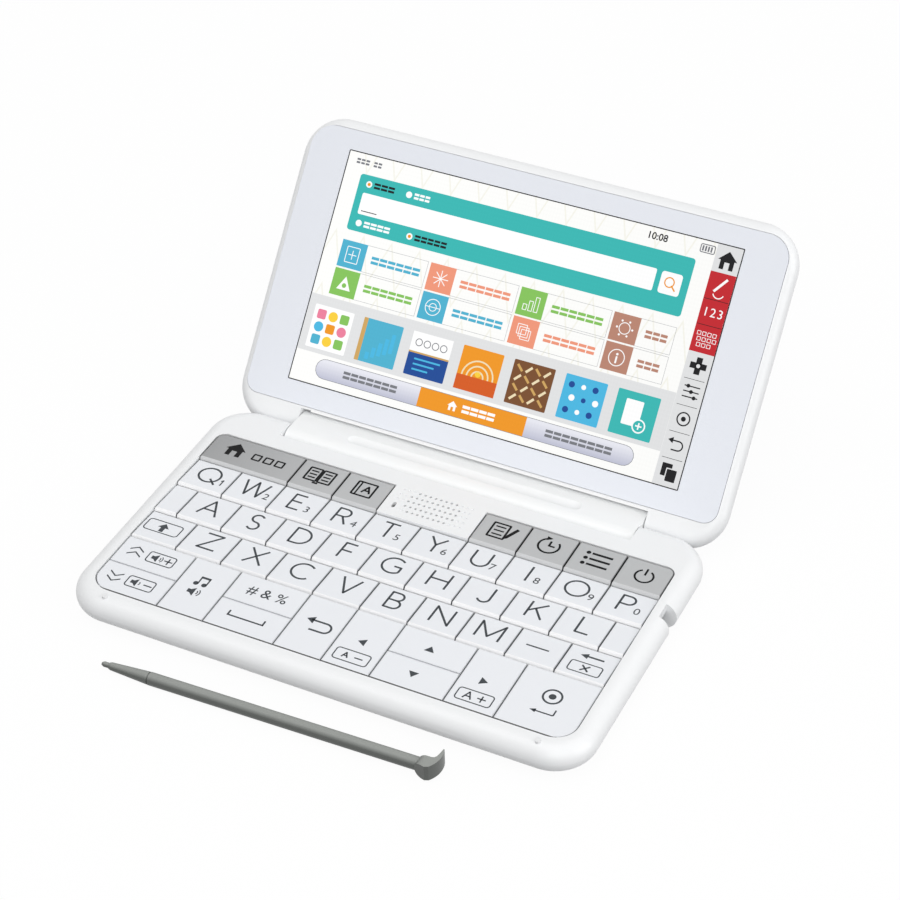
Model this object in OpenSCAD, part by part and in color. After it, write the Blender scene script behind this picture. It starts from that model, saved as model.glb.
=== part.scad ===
// Electronic dictionary: a keyboard base, a two-axis hinge block and a display lid,
// with a stylus lying in front. Origin: centre of the base's underside. +Y is the
// hinge side, +Z is up. Rest: hinge block level behind the base, lid leaning back.

/* [Base] */
// Width of the base and of the lid
body_w = 152.4; // [150:0.2:160]
// Front-to-back depth of the base
base_d = 93; // [92:0.5:100]
// Thickness of the base
base_t = 8.8; // [8.6:0.1:9.6]
// Corner radius of base and lid seen from above
corner_r = 12; // [9:0.5:13]
// Thickness of the moulded walls
wall = 1.2; // [1:0.1:1.5]
// Width of the solid rim round the base's hollow
rim = 2.8; // [2.4:0.1:3.2]
// Height of the rubber feet below the underside
foot_h = 0.4; // [0.3:0.05:0.45]
// Diameter of a rubber foot
foot_dia = 8; // [6:0.5:10]
// Diameter of a stop bud on the deck
bud_dia = 1.6; // [1.2:0.1:2]
// Height of a stop bud above the deck
bud_h = 0.4; // [0.2:0.05:0.45]

/* [Keyboard] */
// Width of the deck beside the keys
deck_side = 5.6; // [5.2:0.1:7]
// Depth of the deck in front of the keys
deck_front = 6; // [5.6:0.1:8]
// Depth of the deck between the keys and the hinge notch
deck_rear = 6; // [5:0.1:8]
// Depth of the bottom row's cell
bottom_row_d = 22.1; // [20:0.1:22.4]
// Gap between neighbouring keys
key_gap = 0.35; // [0.25:0.05:0.5]
// How far a key travels when it is pressed
key_travel = 0.4; // [0.3:0.05:0.45]
// How far a letter key's rear edge lies below the deck
key_rear_drop = 0.75; // [0.5:0.05:0.9]
// Fall of a function key's top towards the rear
grey_rear_drop = 0.15; // [0.1:0.05:0.4]
// Width of the groove that divides a rocker key
rocker_groove_w = 0.35; // [0.2:0.05:0.5]
// Depth of the groove that divides a rocker key
rocker_groove_depth = 0.5; // [0.3:0.05:0.7]
// Height of the sloping band on a letter key's front
key_band_h = 0.95; // [0.6:0.05:1.2]
// Depth of that band from front to back
key_band_d = 0.5; // [0.3:0.05:0.8]
// How far the bottom row lies below the deck
flush_drop = 0.2; // [0.1:0.05:0.4]
// Width of the chamfer round a key's top
key_chamfer = 0.18; // [0.1:0.02:0.3]
// Corner radius of the keyboard window at the front
window_r_front = 6.5; // [4:0.5:7.5]
// Corner radius of the keyboard window at the rear
window_r_rear = 3; // [2:0.5:5]

/* [Speaker grille] */
// Diameter of a grille hole
grille_hole = 0.8; // [0.6:0.05:1]
// Spacing of the holes across
grille_dx = 1.62; // [1.5:0.02:1.64]
// Spacing of the holes front to back
grille_dy = 2.12; // [1.8:0.02:2.2]
// Depth of a blind dimple
dimple_depth = 0.3; // [0.2:0.05:0.5]
// Width of the speaker
speaker_w = 21; // [16:0.5:22]
// Depth of the speaker
speaker_d = 9.6; // [8:0.2:10]

/* [Hinge] */
// Length of the hinge block
block_len = 108.3; // [104:0.1:112]
// Gap between the hinge block and the cases
hinge_gap = 0.3; // [0.25:0.05:0.4]
// Gap between lid and base when shut
shut_gap = 0.5; // [0.45:0.05:0.8]
// Radius of a hinge pin
pin_r = 1.6; // [1.4:0.05:1.8]
// Radial running clearance of a pin in its ear
pin_clearance = 0.05; // [0.03:0.01:0.09]
// Length of a pin inside an ear
pin_reach = 8; // [6:0.5:10]
// Length of the groove in the block's inner face
groove_len = 73; // [60:1:84]
// Width of that groove
groove_w = 3.9; // [3:0.1:4.4]
// Depth of that groove
groove_depth = 0.5; // [0.3:0.05:0.7]
// Turn of the hinge block about the base, from shut
base_open = 90; // [90:1:90]
// Turn of the lid about the hinge block, from shut
lid_open = 39.07; // [30:0.01:60]

/* [Lid] */
// Thickness of the lid
lid_t = 7.4; // [7.2:0.1:8.4]
// Width of the white rim beside the glass
glass_rim_side = 2.64; // [2.4:0.02:3]
// Width of the white rim above the glass
glass_rim_top = 2.85; // [2.6:0.05:3.2]
// Width of the rim between the hinge notch and the glass
glass_rim_notch = 0.72; // [0.6:0.02:1]
// Thickness of the glass plate
glass_t = 0.9; // [0.7:0.05:1.1]
// Width of the lid's solid rim round its hollow
lid_rim = 3.4; // [3:0.1:4]
// Gap round the glass plate
glass_gap = 0.12; // [0.1:0.01:0.2]
// Corner radius of the glass at the top
glass_r_top = 7; // [5:0.5:8]
// Corner radius of the glass at the hinge side
glass_r_low = 4; // [2:0.5:6]
// Width of the border beside the display picture
border_side = 15.32; // [14:0.02:20]
// Width of the border above the display picture
border_top = 8.74; // [7:0.02:12]
// Distance from the lid's hinge axis to the picture's lower edge
screen_foot = 11.37; // [10:0.01:12.5]

/* [Battery] */
// Width of the battery
battery_w = 62; // [50:1:66]
// Depth of the battery
battery_d = 34; // [30:0.5:35]
// Thickness of the battery
battery_t = 3.9; // [3.4:0.1:4]

/* [Stylus] */
// Radius of the stylus shaft
stylus_r = 1.83; // [1.6:0.01:1.85]
// Overall length of the stylus
stylus_len = 98.1; // [92:0.1:102]
// Length of the tapered grip before the tip
stylus_cone = 14.65; // [10:0.5:18]
// Radius of the writing tip
stylus_tip_r = 0.75; // [0.6:0.05:0.9]
// Thickness of the stylus head
head_t = 4.8; // [4.6:0.1:5.2]
// Depth of the stylus head below the shaft's axis when it lies down
head_low = 1.95; // [1.85:0.05:2.4]
// Radius of the bore that holds the stylus
silo_r = 1.95; // [1.93:0.01:2]
// Wall of the silo tube
silo_wall = 0.4; // [0.35:0.05:0.5]
// Place of the silo, measured from the hinge axis towards the front
silo_back = 26.45; // [26:0.05:28]

/* [Hidden] */
fine = 64;
eps = 0.01;

// base
half_w = body_w / 2;
edge_r = base_t / 2;                       // full-round edge of the base
front_y = -base_d / 2;
rear_y = base_d / 2;
seat_gap = 0.1;                            // gap between seated inner pieces
parting_z = base_t / 2;

// hinge
axis_z = base_t / 2;
base_axis_y = rear_y - edge_r;
lid_edge_r = lid_t / 2;
axis_gap = edge_r + lid_edge_r + shut_gap;
block_half = block_len / 2;
notch_half = block_half + hinge_gap;
block_r_base = edge_r - hinge_gap;
block_r_lid = lid_edge_r - hinge_gap;
notch_wall_y = base_axis_y - edge_r - hinge_gap / 3;
lid_reach = base_axis_y - front_y;         // hinge axis to the lid's far edge
lid_turn = 180 - base_open - lid_open;     // lean of the lid from level
pin_inside = 10;

// lid, drawn flat: Y from the hinge axis to the far edge, Z towards the glass
lid_notch_v = lid_edge_r + hinge_gap;
glass_half = half_w - glass_rim_side;
glass_low = lid_notch_v + glass_rim_notch;
glass_top = lid_reach - glass_rim_top;
pocket_t = glass_t + seat_gap;
screen_w = body_w - 2 * border_side;
screen_h = lid_reach - border_top - screen_foot;
module_margin = 2.2;
module_half = screen_w / 2 + module_margin;
module_low = screen_foot - module_margin;
module_top = screen_foot + screen_h + module_margin;
module_back = seat_gap;
module_t = lid_edge_r - glass_t - module_back;

// keyboard
KEY_COLS = 10;
LETTER_ROWS = 4;
kb_half = half_w - deck_side;
key_pitch = 2 * kb_half / KEY_COLS;
window_half = kb_half + key_gap / 2;
kb_front = front_y + deck_front;
kb_rear = notch_wall_y - deck_rear;
row_pitch = (kb_rear - kb_front - bottom_row_d) / LETTER_ROWS;
row_edge = [for (i = [0 : LETTER_ROWS]) kb_rear - i * row_pitch];
window_rear = row_edge[0] + key_gap / 2;
window_front = kb_front - key_gap / 2;
key_low = base_t - 1.5;                    // underside of every key
band_foot = base_t - key_band_h;
deck_low = base_t - wall;

// speaker grille
GRILLE_COLS = 14;
GRILLE_ROWS = 5;
grille_x = -0.5;
grille_rear = window_rear - 0.85;

// inside of the base
bay_half = half_w - rim;
bay_front = front_y + rim;
bay_rear = notch_wall_y - wall;
board_t = 0.8;
board_low = 5.45;
sheet_t = 0.5;
sheet_low = board_low + board_t + seat_gap;
battery_side = 22.4;                       // room for the connectors beside the battery
battery_front = 4.7;
battery_x = -bay_half + battery_side + battery_w / 2;
battery_y = bay_front + battery_front + battery_d / 2;
beside_battery = battery_x + battery_w / 2;
well_t = 0.8;
well_top = wall / 2 + battery_t + 0.4;
cover_margin = 2.5;
cover_gap = 0.15;
cover_w = battery_w + 2 * cover_margin;
cover_d = battery_d + 2 * cover_margin;
speaker_t = 2.1;
speaker_y = window_rear - 6.2;

// feet, stop buds and screws, measured from the base's corners
foot_in_x = 14.2;
foot_in_front = 11;
foot_in_rear = 7;
foot_sunk = 0.3;
bud_in_x = 12.8;
bud_in_y = 3.4;
bud_sunk = 0.5;
screw_r = 0.8;
screw_head_r = 1.5;
screw_head_t = 0.9;
screw_sink = 0.7;
pilot_top = parting_z + 2.5;
corner_x = half_w - corner_r;
SCREW_XY = [[corner_x + 4.2, rear_y - corner_r + 4.2], [corner_x + 5.5, front_y + corner_r - 5.5]];

// stylus and its silo
silo_y = base_axis_y - silo_back;
silo_z = 3.9;
silo_outer = silo_r + silo_wall;
head_deep = 5.9;                           // outer face of the head to its round inner end
head_gap = 0.3;
horn_rise = 4.7;                           // horn tip above the shaft's axis
horn_root = 0.95;                          // head's upper side above the shaft's axis
head_drop = 2.95;                          // head's lower corner below the shaft's axis
notch_x = half_w - head_deep - head_gap;   // inner wall of the stylus notch
notch_y = silo_y - head_t + head_low - head_gap;
notch_d = head_t + 2 * head_gap;
notch_z = silo_z - head_drop - head_gap;
horn_slot_x = half_w - 3.1;
horn_slot_z = silo_z + stylus_r + head_gap;
silo_len = stylus_len - head_deep + 2;
silo_floor = 1;

KEYS = [
    // name, style, row, first column, last column
    ["key_home", "grey", 0, 0, 2], ["key_book_a", "grey", 0, 2, 3], ["key_book_b", "grey", 0, 3, 4],
    ["key_notes", "grey", 0, 6, 7], ["key_history", "grey", 0, 7, 8],
    ["key_contents", "grey", 0, 8, 9], ["key_power", "grey", 0, 9, 10],
    ["key_q", "ridged", 1, 0, 1], ["key_w", "ridged", 1, 1, 2], ["key_e", "ridged", 1, 2, 3],
    ["key_r", "ridged", 1, 3, 4], ["key_t", "ridged", 1, 4, 5], ["key_y", "ridged", 1, 5, 6],
    ["key_u", "ridged", 1, 6, 7], ["key_i", "ridged", 1, 7, 8], ["key_o", "ridged", 1, 8, 9],
    ["key_p", "ridged", 1, 9, 10],
    ["key_a", "ridged", 2, 0.5, 1.5], ["key_s", "ridged", 2, 1.5, 2.5],
    ["key_d", "ridged", 2, 2.5, 3.5], ["key_f", "ridged", 2, 3.5, 4.5],
    ["key_g", "ridged", 2, 4.5, 5.5], ["key_h", "ridged", 2, 5.5, 6.5],
    ["key_j", "ridged", 2, 6.5, 7.5], ["key_k", "ridged", 2, 7.5, 8.5],
    ["key_l", "ridged", 2, 8.5, 9.5],
    ["key_shift", "ridged", 3, 0, 1], ["key_z", "ridged", 3, 1, 2], ["key_x", "ridged", 3, 2, 3],
    ["key_c", "ridged", 3, 3, 4], ["key_v", "ridged", 3, 4, 5], ["key_b", "ridged", 3, 5, 6],
    ["key_n", "ridged", 3, 6, 7], ["key_m", "ridged", 3, 7, 8], ["key_dash", "ridged", 3, 8, 9],
    ["key_delete", "ridged", 3, 9, 10],
    ["key_page_rocker", "rocker", 4, 0, 1.5], ["key_sound", "flush", 4, 1.5, 2.5],
    ["key_space_rocker", "rocker", 4, 2.5, 4], ["key_back", "flush", 4, 4, 5],
    ["key_left", "flush", 4, 5, 6], ["key_updown_rocker", "rocker", 4, 6, 7.5],
    ["key_right", "flush", 4, 7.5, 8.5], ["key_enter", "flush", 4, 8.5, 10]
];

// ---------- shared shapes ----------

// Rectangle from (x0, y0) to (x1, y1) with its own radius at each end in Y
module plate(x0, x1, y0, y1, r_low, r_high) {
    translate([x0, y0 + r_low]) square([x1 - x0, y1 - y0 - r_low - r_high]);
    translate([x0 + r_low, y0]) square([x1 - x0 - 2 * r_low, r_low + eps]);
    translate([x0 + r_high, y1 - r_high - eps]) square([x1 - x0 - 2 * r_high, r_high + eps]);
    for (x = [x0 + r_low, x1 - r_low]) translate([x, y0 + r_low]) circle(r = r_low, $fn = fine);
    for (x = [x0 + r_high, x1 - r_high]) translate([x, y1 - r_high]) circle(r = r_high, $fn = fine);
}

// Section of a full-round edge, reaching inwards from x = reach to 0
module edge_section(reach, t) {
    square([reach - t / 2, t]);
    translate([reach - t / 2, t / 2]) intersection() {
        circle(d = t, $fn = fine);
        translate([0, -t]) square([t, 2 * t]);
    }
}

// Pebble: a slab with full-round edges and round corners, x centred, y from y0 to y1
module pebble(w, y0, y1, t, r) {
    long_x = w - 2 * r;
    long_y = y1 - y0 - 2 * r;
    translate([-long_x / 2, y0 + r, 0]) cube([long_x, long_y, t]);
    for (s = [0, 1]) mirror([s, 0, 0])
        translate([long_x / 2, y1 - r, 0]) rotate([90, 0, 0])
            linear_extrude(long_y) edge_section(r, t);
    translate([-long_x / 2, y1 - r, 0]) rotate([90, 0, 90])
        linear_extrude(long_x) edge_section(r, t);
    translate([long_x / 2, y0 + r, 0]) rotate([90, 0, -90])
        linear_extrude(long_x) edge_section(r, t);
    for (corner = [[1, 1, 0], [-1, 1, 90], [-1, -1, 180], [1, -1, 270]])
        translate([corner[0] * long_x / 2, corner[1] > 0 ? y1 - r : y0 + r, 0])
            rotate([0, 0, corner[2]])
                rotate_extrude(angle = 90, $fn = fine) edge_section(r, t);
}

// Slot with round ends, centred, long in X
module slot_2d(len, w) {
    square([len - w, w], center = true);
    for (s = [-1, 1]) translate([s * (len - w) / 2, 0]) circle(d = w, $fn = fine);
}

// Lid's own frame, from flat to its place at rest
module at_lid() {
    translate([0, base_axis_y + axis_gap, axis_z]) rotate([lid_turn, 0, 0]) children();
}

// ---------- base ----------

module base_pebble() {
    pebble(body_w, front_y, rear_y, base_t, corner_r);
}

// Space behind the base that the hinge block turns in
module base_notch() {
    translate([-notch_half, notch_wall_y, -base_t]) cube([2 * notch_half, base_t * 2, 3 * base_t]);
}

// Half-bearings for the two pins of the base axis
module base_pin_bores() {
    for (s = [-1, 1]) translate([s * (notch_half + pin_reach / 2), base_axis_y, axis_z])
        rotate([0, 90, 0]) cylinder(r = pin_r + pin_clearance, h = pin_reach + 2, center = true, $fn = fine);
}

// Walls round the stylus notch, low under the keys and full height beside the window
module notch_housing(z0, z1, z_rim) {
    for (part = [[notch_x, z1], [horn_slot_x, z_rim]])
        translate([part[0] - wall, notch_y - wall, z0])
            cube([bay_half + eps - part[0] + wall, notch_d + 2 * wall, part[1] - z0]);
}

// Notch in the right side for the stylus head, deeper low down and shallow beside its horn
module stylus_notch() {
    translate([notch_x, notch_y, notch_z]) cube([2 * head_deep, notch_d, horn_slot_z - notch_z]);
    translate([horn_slot_x, notch_y, notch_z]) cube([2 * head_deep, notch_d, base_t]);
    translate([notch_x - 2 * rim, silo_y, silo_z]) rotate([0, 90, 0])
        cylinder(r = silo_outer + seat_gap, h = 3 * rim, $fn = fine);
}

module bay(z0, z1) {
    translate([0, 0, z0]) linear_extrude(z1 - z0)
        plate(-bay_half, bay_half, bay_front, bay_rear, corner_r - rim, 2);
}

module screw_posts(z0, z1) {
    for (s = [-1, 1], p = SCREW_XY) translate([s * p[0], p[1], z0]) cylinder(r = 2.2, h = z1 - z0, $fn = 32);
}

module foot_places() {
    for (s = [-1, 1], y = [front_y + foot_in_front, notch_wall_y - foot_in_rear])
        translate([s * (half_w - foot_in_x), y, 0]) children();
}

module bud_places() {
    for (s = [-1, 1]) translate([s * (half_w - bud_in_x), front_y + bud_in_y, base_t - bud_sunk]) children();
}

module screw_places() {
    for (s = [-1, 1], p = SCREW_XY) translate([s * p[0], p[1], 0]) children();
}

// Solid just inside the outer skin, to trim posts that stand near the edge
module trim_box() {
    translate([-half_w + rim / 2, front_y + rim / 2, 0]) cube([body_w - rim, base_d - rim, base_t]);
}

module bottom_case() {
    post_r = 1.8;
    post_xs = [beside_battery + 7, bay_half - 26];
    post_ys = [bay_front + 5.7, silo_y - 9.25];
    posts = concat([for (x = post_xs, y = post_ys) [x, y]],
                   [[-bay_half + 9.4, silo_y - 11], [bay_half - 9.4, silo_y - 27],
                    [battery_x, silo_y + 8.75]]);
    rib_start = bay_front + 5;
    saddle_h = silo_z - silo_outer - seat_gap - wall / 2;
    color("white") difference() {
        union() {
            difference() {
                intersection() {
                    base_pebble();
                    translate([-half_w, front_y, 0]) cube([body_w, base_d, parting_z]);
                }
                bay(wall, base_t);
            }
            intersection() {
                screw_posts(wall / 2, parting_z);
                trim_box();
            }
            // posts that carry the circuit board
            for (p = posts) translate([p[0], p[1], wall / 2])
                cylinder(r = post_r, h = board_low - wall / 2, $fn = 32);
            // well round the battery
            translate([battery_x, battery_y, wall / 2]) linear_extrude(well_top - wall / 2)
                square([battery_w + 2 * (cover_gap + well_t), battery_d + 2 * (cover_gap + well_t)],
                       center = true);
            notch_housing(wall / 2, parting_z, parting_z);
            // saddles under the silo
            for (part = [0.15, 0.5, 0.85]) translate([notch_x - part * silo_len, silo_y - 1.2, wall / 2])
                cube([2, 2.4, saddle_h]);
            // stiffening ribs across the open floor
            for (x = [17, 27, 45]) translate([beside_battery + x, rib_start, wall / 2])
                cube([0.8, silo_y - 12 - rib_start, wall]);
        }
        base_notch();
        base_pin_bores();
        stylus_notch();
        foot_places() translate([0, 0, -1]) cylinder(d = foot_dia + 0.1, h = 1 + foot_sunk, $fn = fine);
        // battery door and the well's hollow
        translate([battery_x - cover_w / 2 - cover_gap, battery_y - cover_d / 2 - cover_gap, -1])
            cube([cover_w + 2 * cover_gap, cover_d + 2 * cover_gap, 1 + wall / 2]);
        translate([battery_x - battery_w / 2 - cover_gap, battery_y - battery_d / 2 - cover_gap, 0])
            cube([battery_w + 2 * cover_gap, battery_d + 2 * cover_gap, base_t]);
        // counterbores and shank holes of the case screws
        screw_places() {
            translate([0, 0, -1])
                cylinder(r = screw_head_r + 0.1, h = 1 + screw_sink + screw_head_t, $fn = fine);
            cylinder(r = screw_r + 0.1, h = base_t, $fn = fine);
        }
    }
}

// Keyboard window seen from above, with the speaker tongue left standing
module window_2d(inset) {
    difference() {
        plate(-window_half + inset, window_half - inset, window_front + inset, window_rear - inset,
              window_r_front - inset, window_r_rear - inset);
        translate([-key_pitch - inset + key_gap / 2, row_edge[1] - inset + key_gap / 2])
            square([2 * key_pitch + 2 * inset - key_gap, row_pitch * 2]);
    }
}

module grille() {
    for (c = [0 : GRILLE_COLS - 1], r = [0 : GRILLE_ROWS - 1]) {
        from_middle = abs(c - (GRILLE_COLS - 1) / 2);
        open = from_middle < ((r == 0 || r == GRILLE_ROWS - 1) ? 4 : 5);
        beside_slot = c < 2 && r > 2;
        if (!beside_slot)
            translate([grille_x + (c - (GRILLE_COLS - 1) / 2) * grille_dx, grille_rear - r * grille_dy,
                       open ? deck_low - 1 : base_t - dimple_depth])
                cylinder(d = grille_hole, h = 3, $fn = 24);
    }
    // microphone slot
    translate([grille_x - (GRILLE_COLS - 1) / 2 * grille_dx + 0.2, grille_rear - 3.4 * grille_dy,
               deck_low - 1])
        rotate([0, 0, 90]) linear_extrude(3) slot_2d(2.3, 1.1);
}

module top_case() {
    filler_w = key_pitch / 2 - key_gap / 2;
    color("white") difference() {
        union() {
            difference() {
                union() {
                    difference() {
                        intersection() {
                            base_pebble();
                            translate([-half_w, front_y, parting_z]) cube([body_w, base_d, base_t]);
                        }
                        bay(parting_z - 1, deck_low);
                    }
                    intersection() {
                        screw_posts(parting_z, deck_low + eps);
                        trim_box();
                    }
                    notch_housing(parting_z, board_low + board_t, deck_low + eps);
                }
                translate([0, 0, key_low - key_travel - 0.2]) linear_extrude(base_t) window_2d(0);
            }
            // blank half keys at both ends of the second letter row, moulded on ledges
            for (s = [0, 1]) mirror([s, 0, 0]) {
                translate([-bay_half - eps, row_edge[3] + key_gap / 2, key_low])
                    cube([bay_half - kb_half + filler_w + eps, row_pitch - key_gap, 0.3]);
                translate([-kb_half + key_gap / 2, 0, 0])
                    ridged_block(filler_w - key_gap / 2, row_edge[3] + key_gap / 2, row_pitch - key_gap,
                        key_rear_drop);
            }
        }
        base_notch();
        base_pin_bores();
        stylus_notch();
        grille();
        bud_places() cylinder(d = bud_dia + 0.04, h = 2, $fn = fine);
        // pilot holes of the case screws
        screw_places() cylinder(r = screw_r, h = pilot_top, $fn = fine);
    }
}

module battery_cover() {
    color("white") translate([battery_x, battery_y, 0]) difference() {
        translate([-cover_w / 2, -cover_d / 2, 0]) cube([cover_w, cover_d, wall / 2 - 0.05]);
        // finger grip: three shallow grooves
        for (i = [-1 : 1]) translate([-cover_w / 2 + 8 + i * 2, 0, -1])
            linear_extrude(1.25) rotate([0, 0, 90]) slot_2d(12, 0.9);
    }
}

module battery() {
    color("dimgray") translate([battery_x - battery_w / 2, battery_y - battery_d / 2, wall / 2 + seat_gap])
        linear_extrude(battery_t) plate(0, battery_w, 0, battery_d, 1.5, 1.5);
}

module circuit_board() {
    inset = 0.8;
    color("seagreen") {
        translate([0, 0, board_low]) linear_extrude(board_t) difference() {
            plate(-bay_half + inset, bay_half - inset, bay_front + inset, bay_rear - inset, 7, 3);
            // room for the silo tube
            translate([notch_x - silo_len - 1.5, silo_y - silo_outer - 0.35])
                square([body_w, 2 * silo_outer + 0.7]);
            translate([notch_x - wall - 0.4, notch_y - wall - 0.4])
                square([body_w, notch_d + 2 * (wall + 0.4)]);
            // room for the screw posts and the speaker
            screw_places() circle(r = 2.6, $fn = 32);
            translate([-speaker_w / 2 - 0.4, speaker_y - speaker_d / 2 - 0.4])
                square([speaker_w + 0.8, speaker_d + 0.8]);
        }
        // processor, memory and connectors on the underside: place, then size
        chip_x = beside_battery + 13;
        chip_y = bay_front + 13.7;
        for (c = [[[chip_x, chip_y], [13, 13, 1.2]], [[chip_x + 17, chip_y], [7, 11, 1]],
                  [[chip_x + 26, chip_y], [6, 8, 0.9]], [[chip_x, chip_y + 20], [9, 6, 1]],
                  [[-bay_half + 7.4, battery_y + 2], [5, 16, 1.4]],
                  [[-bay_half + 13, silo_y + 6.7], [14, 4, 1.3]]])
            translate([c[0][0], c[0][1], board_low - c[1][2]]) cube([c[1][0], c[1][1], c[1][2] + eps]);
    }
}

module key_sheet() {
    color("lightgray") translate([0, 0, sheet_low]) linear_extrude(sheet_t) difference() {
        plate(-window_half - 0.6, window_half + 0.6, window_front - 0.6, window_rear + 0.6, 6, 3);
        translate([-key_pitch, row_edge[1] + 0.2]) square([2 * key_pitch, row_pitch * 2]);
        screw_places() circle(r = 2.6, $fn = 32);
    }
}

module speaker() {
    color("dimgray") translate([0, speaker_y, deck_low - speaker_t - seat_gap]) difference() {
        linear_extrude(speaker_t) slot_2d(speaker_w, speaker_d);
        translate([0, 0, speaker_t - 0.5]) linear_extrude(1) slot_2d(speaker_w - 3, speaker_d - 3);
    }
}

module stylus_silo() {
    color("gainsboro") translate([notch_x - silo_len, silo_y, silo_z]) rotate([0, 90, 0]) difference() {
        cylinder(r = silo_outer, h = silo_len, $fn = fine);
        translate([0, 0, silo_floor]) cylinder(r = silo_r, h = silo_len, $fn = fine);
    }
}

module rubber_pads() {
    color("gray") {
        foot_places() translate([0, 0, -foot_h]) cylinder(d = foot_dia, h = foot_h + foot_sunk, $fn = fine);
        bud_places() cylinder(d = bud_dia, h = bud_sunk + bud_h, $fn = fine);
    }
}

module case_screws() {
    color("silver") screw_places() translate([0, 0, screw_sink]) difference() {
        union() {
            cylinder(r = screw_head_r, h = screw_head_t, $fn = fine);
            cylinder(r = screw_r - 0.02, h = pilot_top - screw_sink - 0.2, $fn = fine);
        }
        // cross recess
        for (a = [0, 90]) rotate([0, 0, a]) translate([-0.9, -0.2, -1]) cube([1.8, 0.4, 1.5]);
    }
}

// ---------- keys ----------

key_h = base_t - key_low;
rocker_groove_z = base_t - flush_drop - rocker_groove_depth;

// Key body drawn at its place in Y and Z: sloping top, ridge and front band, chamfered top edges
module ridged_block(w, y0, d, rise) {
    ridge_y = y0 + key_band_d;
    slope_y = ridge_y + key_chamfer;
    tilt = atan(rise / (y0 + d - key_chamfer - slope_y));
    over = 0.3;
    intersection() {
        rotate([90, 0, 90]) linear_extrude(w) polygon([
            [y0, key_low], [y0, band_foot], [ridge_y - key_chamfer / 3, base_t - key_chamfer / 2],
            [slope_y, base_t],
            [y0 + d - key_chamfer, base_t - rise], [y0 + d, base_t - rise - key_chamfer], [y0 + d, key_low]]);
        // side chamfers follow the sloping top
        translate([0, slope_y, base_t]) rotate([-tilt, 0, 0]) rotate([90, 0, 0]) translate([0, 0, -2 * d])
            linear_extrude(4 * d) polygon([
                [0, -2 * key_h], [w, -2 * key_h], [w, -key_chamfer], [w - key_chamfer - over, over],
                [key_chamfer + over, over], [0, -key_chamfer]]);
    }
}

module flush_block(w, y0, d) {
    top = base_t - flush_drop;
    intersection() {
        rotate([90, 0, 90]) linear_extrude(w) polygon([
            [y0, key_low], [y0, top - key_chamfer], [y0 + key_chamfer, top],
            [y0 + d - key_chamfer, top], [y0 + d, top - key_chamfer], [y0 + d, key_low]]);
        translate([0, y0 + 2 * d, 0]) rotate([90, 0, 0]) linear_extrude(4 * d) polygon([
            [0, key_low], [0, top - key_chamfer], [key_chamfer, top], [w - key_chamfer, top],
            [w, top - key_chamfer], [w, key_low]]);
    }
}

module key(k) {
    style = k[1];
    row = k[2];
    x0 = -kb_half + k[3] * key_pitch + key_gap / 2;
    w = (k[4] - k[3]) * key_pitch - key_gap;
    y1 = row_edge[row] - key_gap / 2;
    d = (row == 4 ? bottom_row_d : row_pitch) - key_gap;
    at_corner = k[3] == 0 || k[4] == KEY_COLS;
    color(style == "grey" ? "darkgray" : "lavender") intersection() {
        difference() {
            translate([x0, 0, 0]) {
                if (style == "grey") ridged_block(w, y1 - d, d, grey_rear_drop);
                else if (style == "ridged") ridged_block(w, y1 - d, d, key_rear_drop);
                else flush_block(w, y1 - d, d);
            }
            // a rocker's two halves are divided by a fine groove
            if (style == "rocker")
                translate([x0 - 1, y1 - d / 2 - rocker_groove_w / 2, rocker_groove_z])
                    cube([w + 2, rocker_groove_w, 1]);
        }
        if (at_corner && (row == 0 || row == 4))
            translate([0, 0, key_low - 1]) linear_extrude(key_h + 2) window_2d(key_gap);
        else
            translate([x0 - 1, y1 - d - 1, key_low - 1]) cube([w + 2, d + 2, key_h + 2]);
    }
}

// ---------- hinge ----------

// Tapered oval round both axes, seen along X; local Y runs from the base axis to the lid axis
module block_section() {
    lean = asin((block_r_base - block_r_lid) / axis_gap);
    flank = [sin(lean), cos(lean)] * 0.999;
    near = block_r_base * flank;
    far = block_r_lid * flank;
    circle(r = block_r_base, $fn = fine);
    translate([axis_gap, 0]) circle(r = block_r_lid, $fn = fine);
    polygon([[near[0], -near[1]], [axis_gap + far[0], -far[1]], [axis_gap, 0] + far, near]);
}

module hinge_block() {
    groove_y = base_axis_y + 0.4 * axis_gap;
    groove_z = axis_z + block_r_base - 0.4 * (block_r_base - block_r_lid);
    groove_r = (groove_w * groove_w / 4 + groove_depth * groove_depth) / (2 * groove_depth);
    color("white") difference() {
        translate([-block_half, base_axis_y, axis_z]) rotate([90, 0, 90])
            linear_extrude(block_len) block_section();
        // hollow groove with round ends
        translate([0, groove_y, groove_z + groove_r - groove_depth]) {
            rotate([0, 90, 0]) cylinder(r = groove_r, h = groove_len - groove_w, center = true, $fn = fine);
            for (s = [-1, 1]) translate([s * (groove_len - groove_w) / 2, 0, 0])
                rotate([0, 90, 0]) sphere(r = groove_r, $fn = fine);
        }
        for (s = [-1, 1], y = [base_axis_y, base_axis_y + axis_gap])
            translate([s * (block_half - pin_inside / 2 + 0.5), y, axis_z]) rotate([0, 90, 0])
                cylinder(r = pin_r, h = pin_inside + 1, center = true, $fn = fine);
    }
}

module hinge_pins() {
    color("silver") for (s = [-1, 1], y = [base_axis_y, base_axis_y + axis_gap])
        translate([s * (block_half + (pin_reach - pin_inside) / 2), y, axis_z]) rotate([0, 90, 0])
            cylinder(r = pin_r, h = pin_reach + pin_inside, center = true, $fn = fine);
}

// ---------- lid ----------

module lid_pebble() {
    translate([0, 0, -lid_edge_r]) pebble(body_w, -lid_edge_r, lid_reach, lid_t, corner_r);
}

module lid_notch() {
    translate([-notch_half, -2 * lid_t, -lid_t]) cube([2 * notch_half, 2 * lid_t + lid_notch_v, 2 * lid_t]);
}

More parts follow.
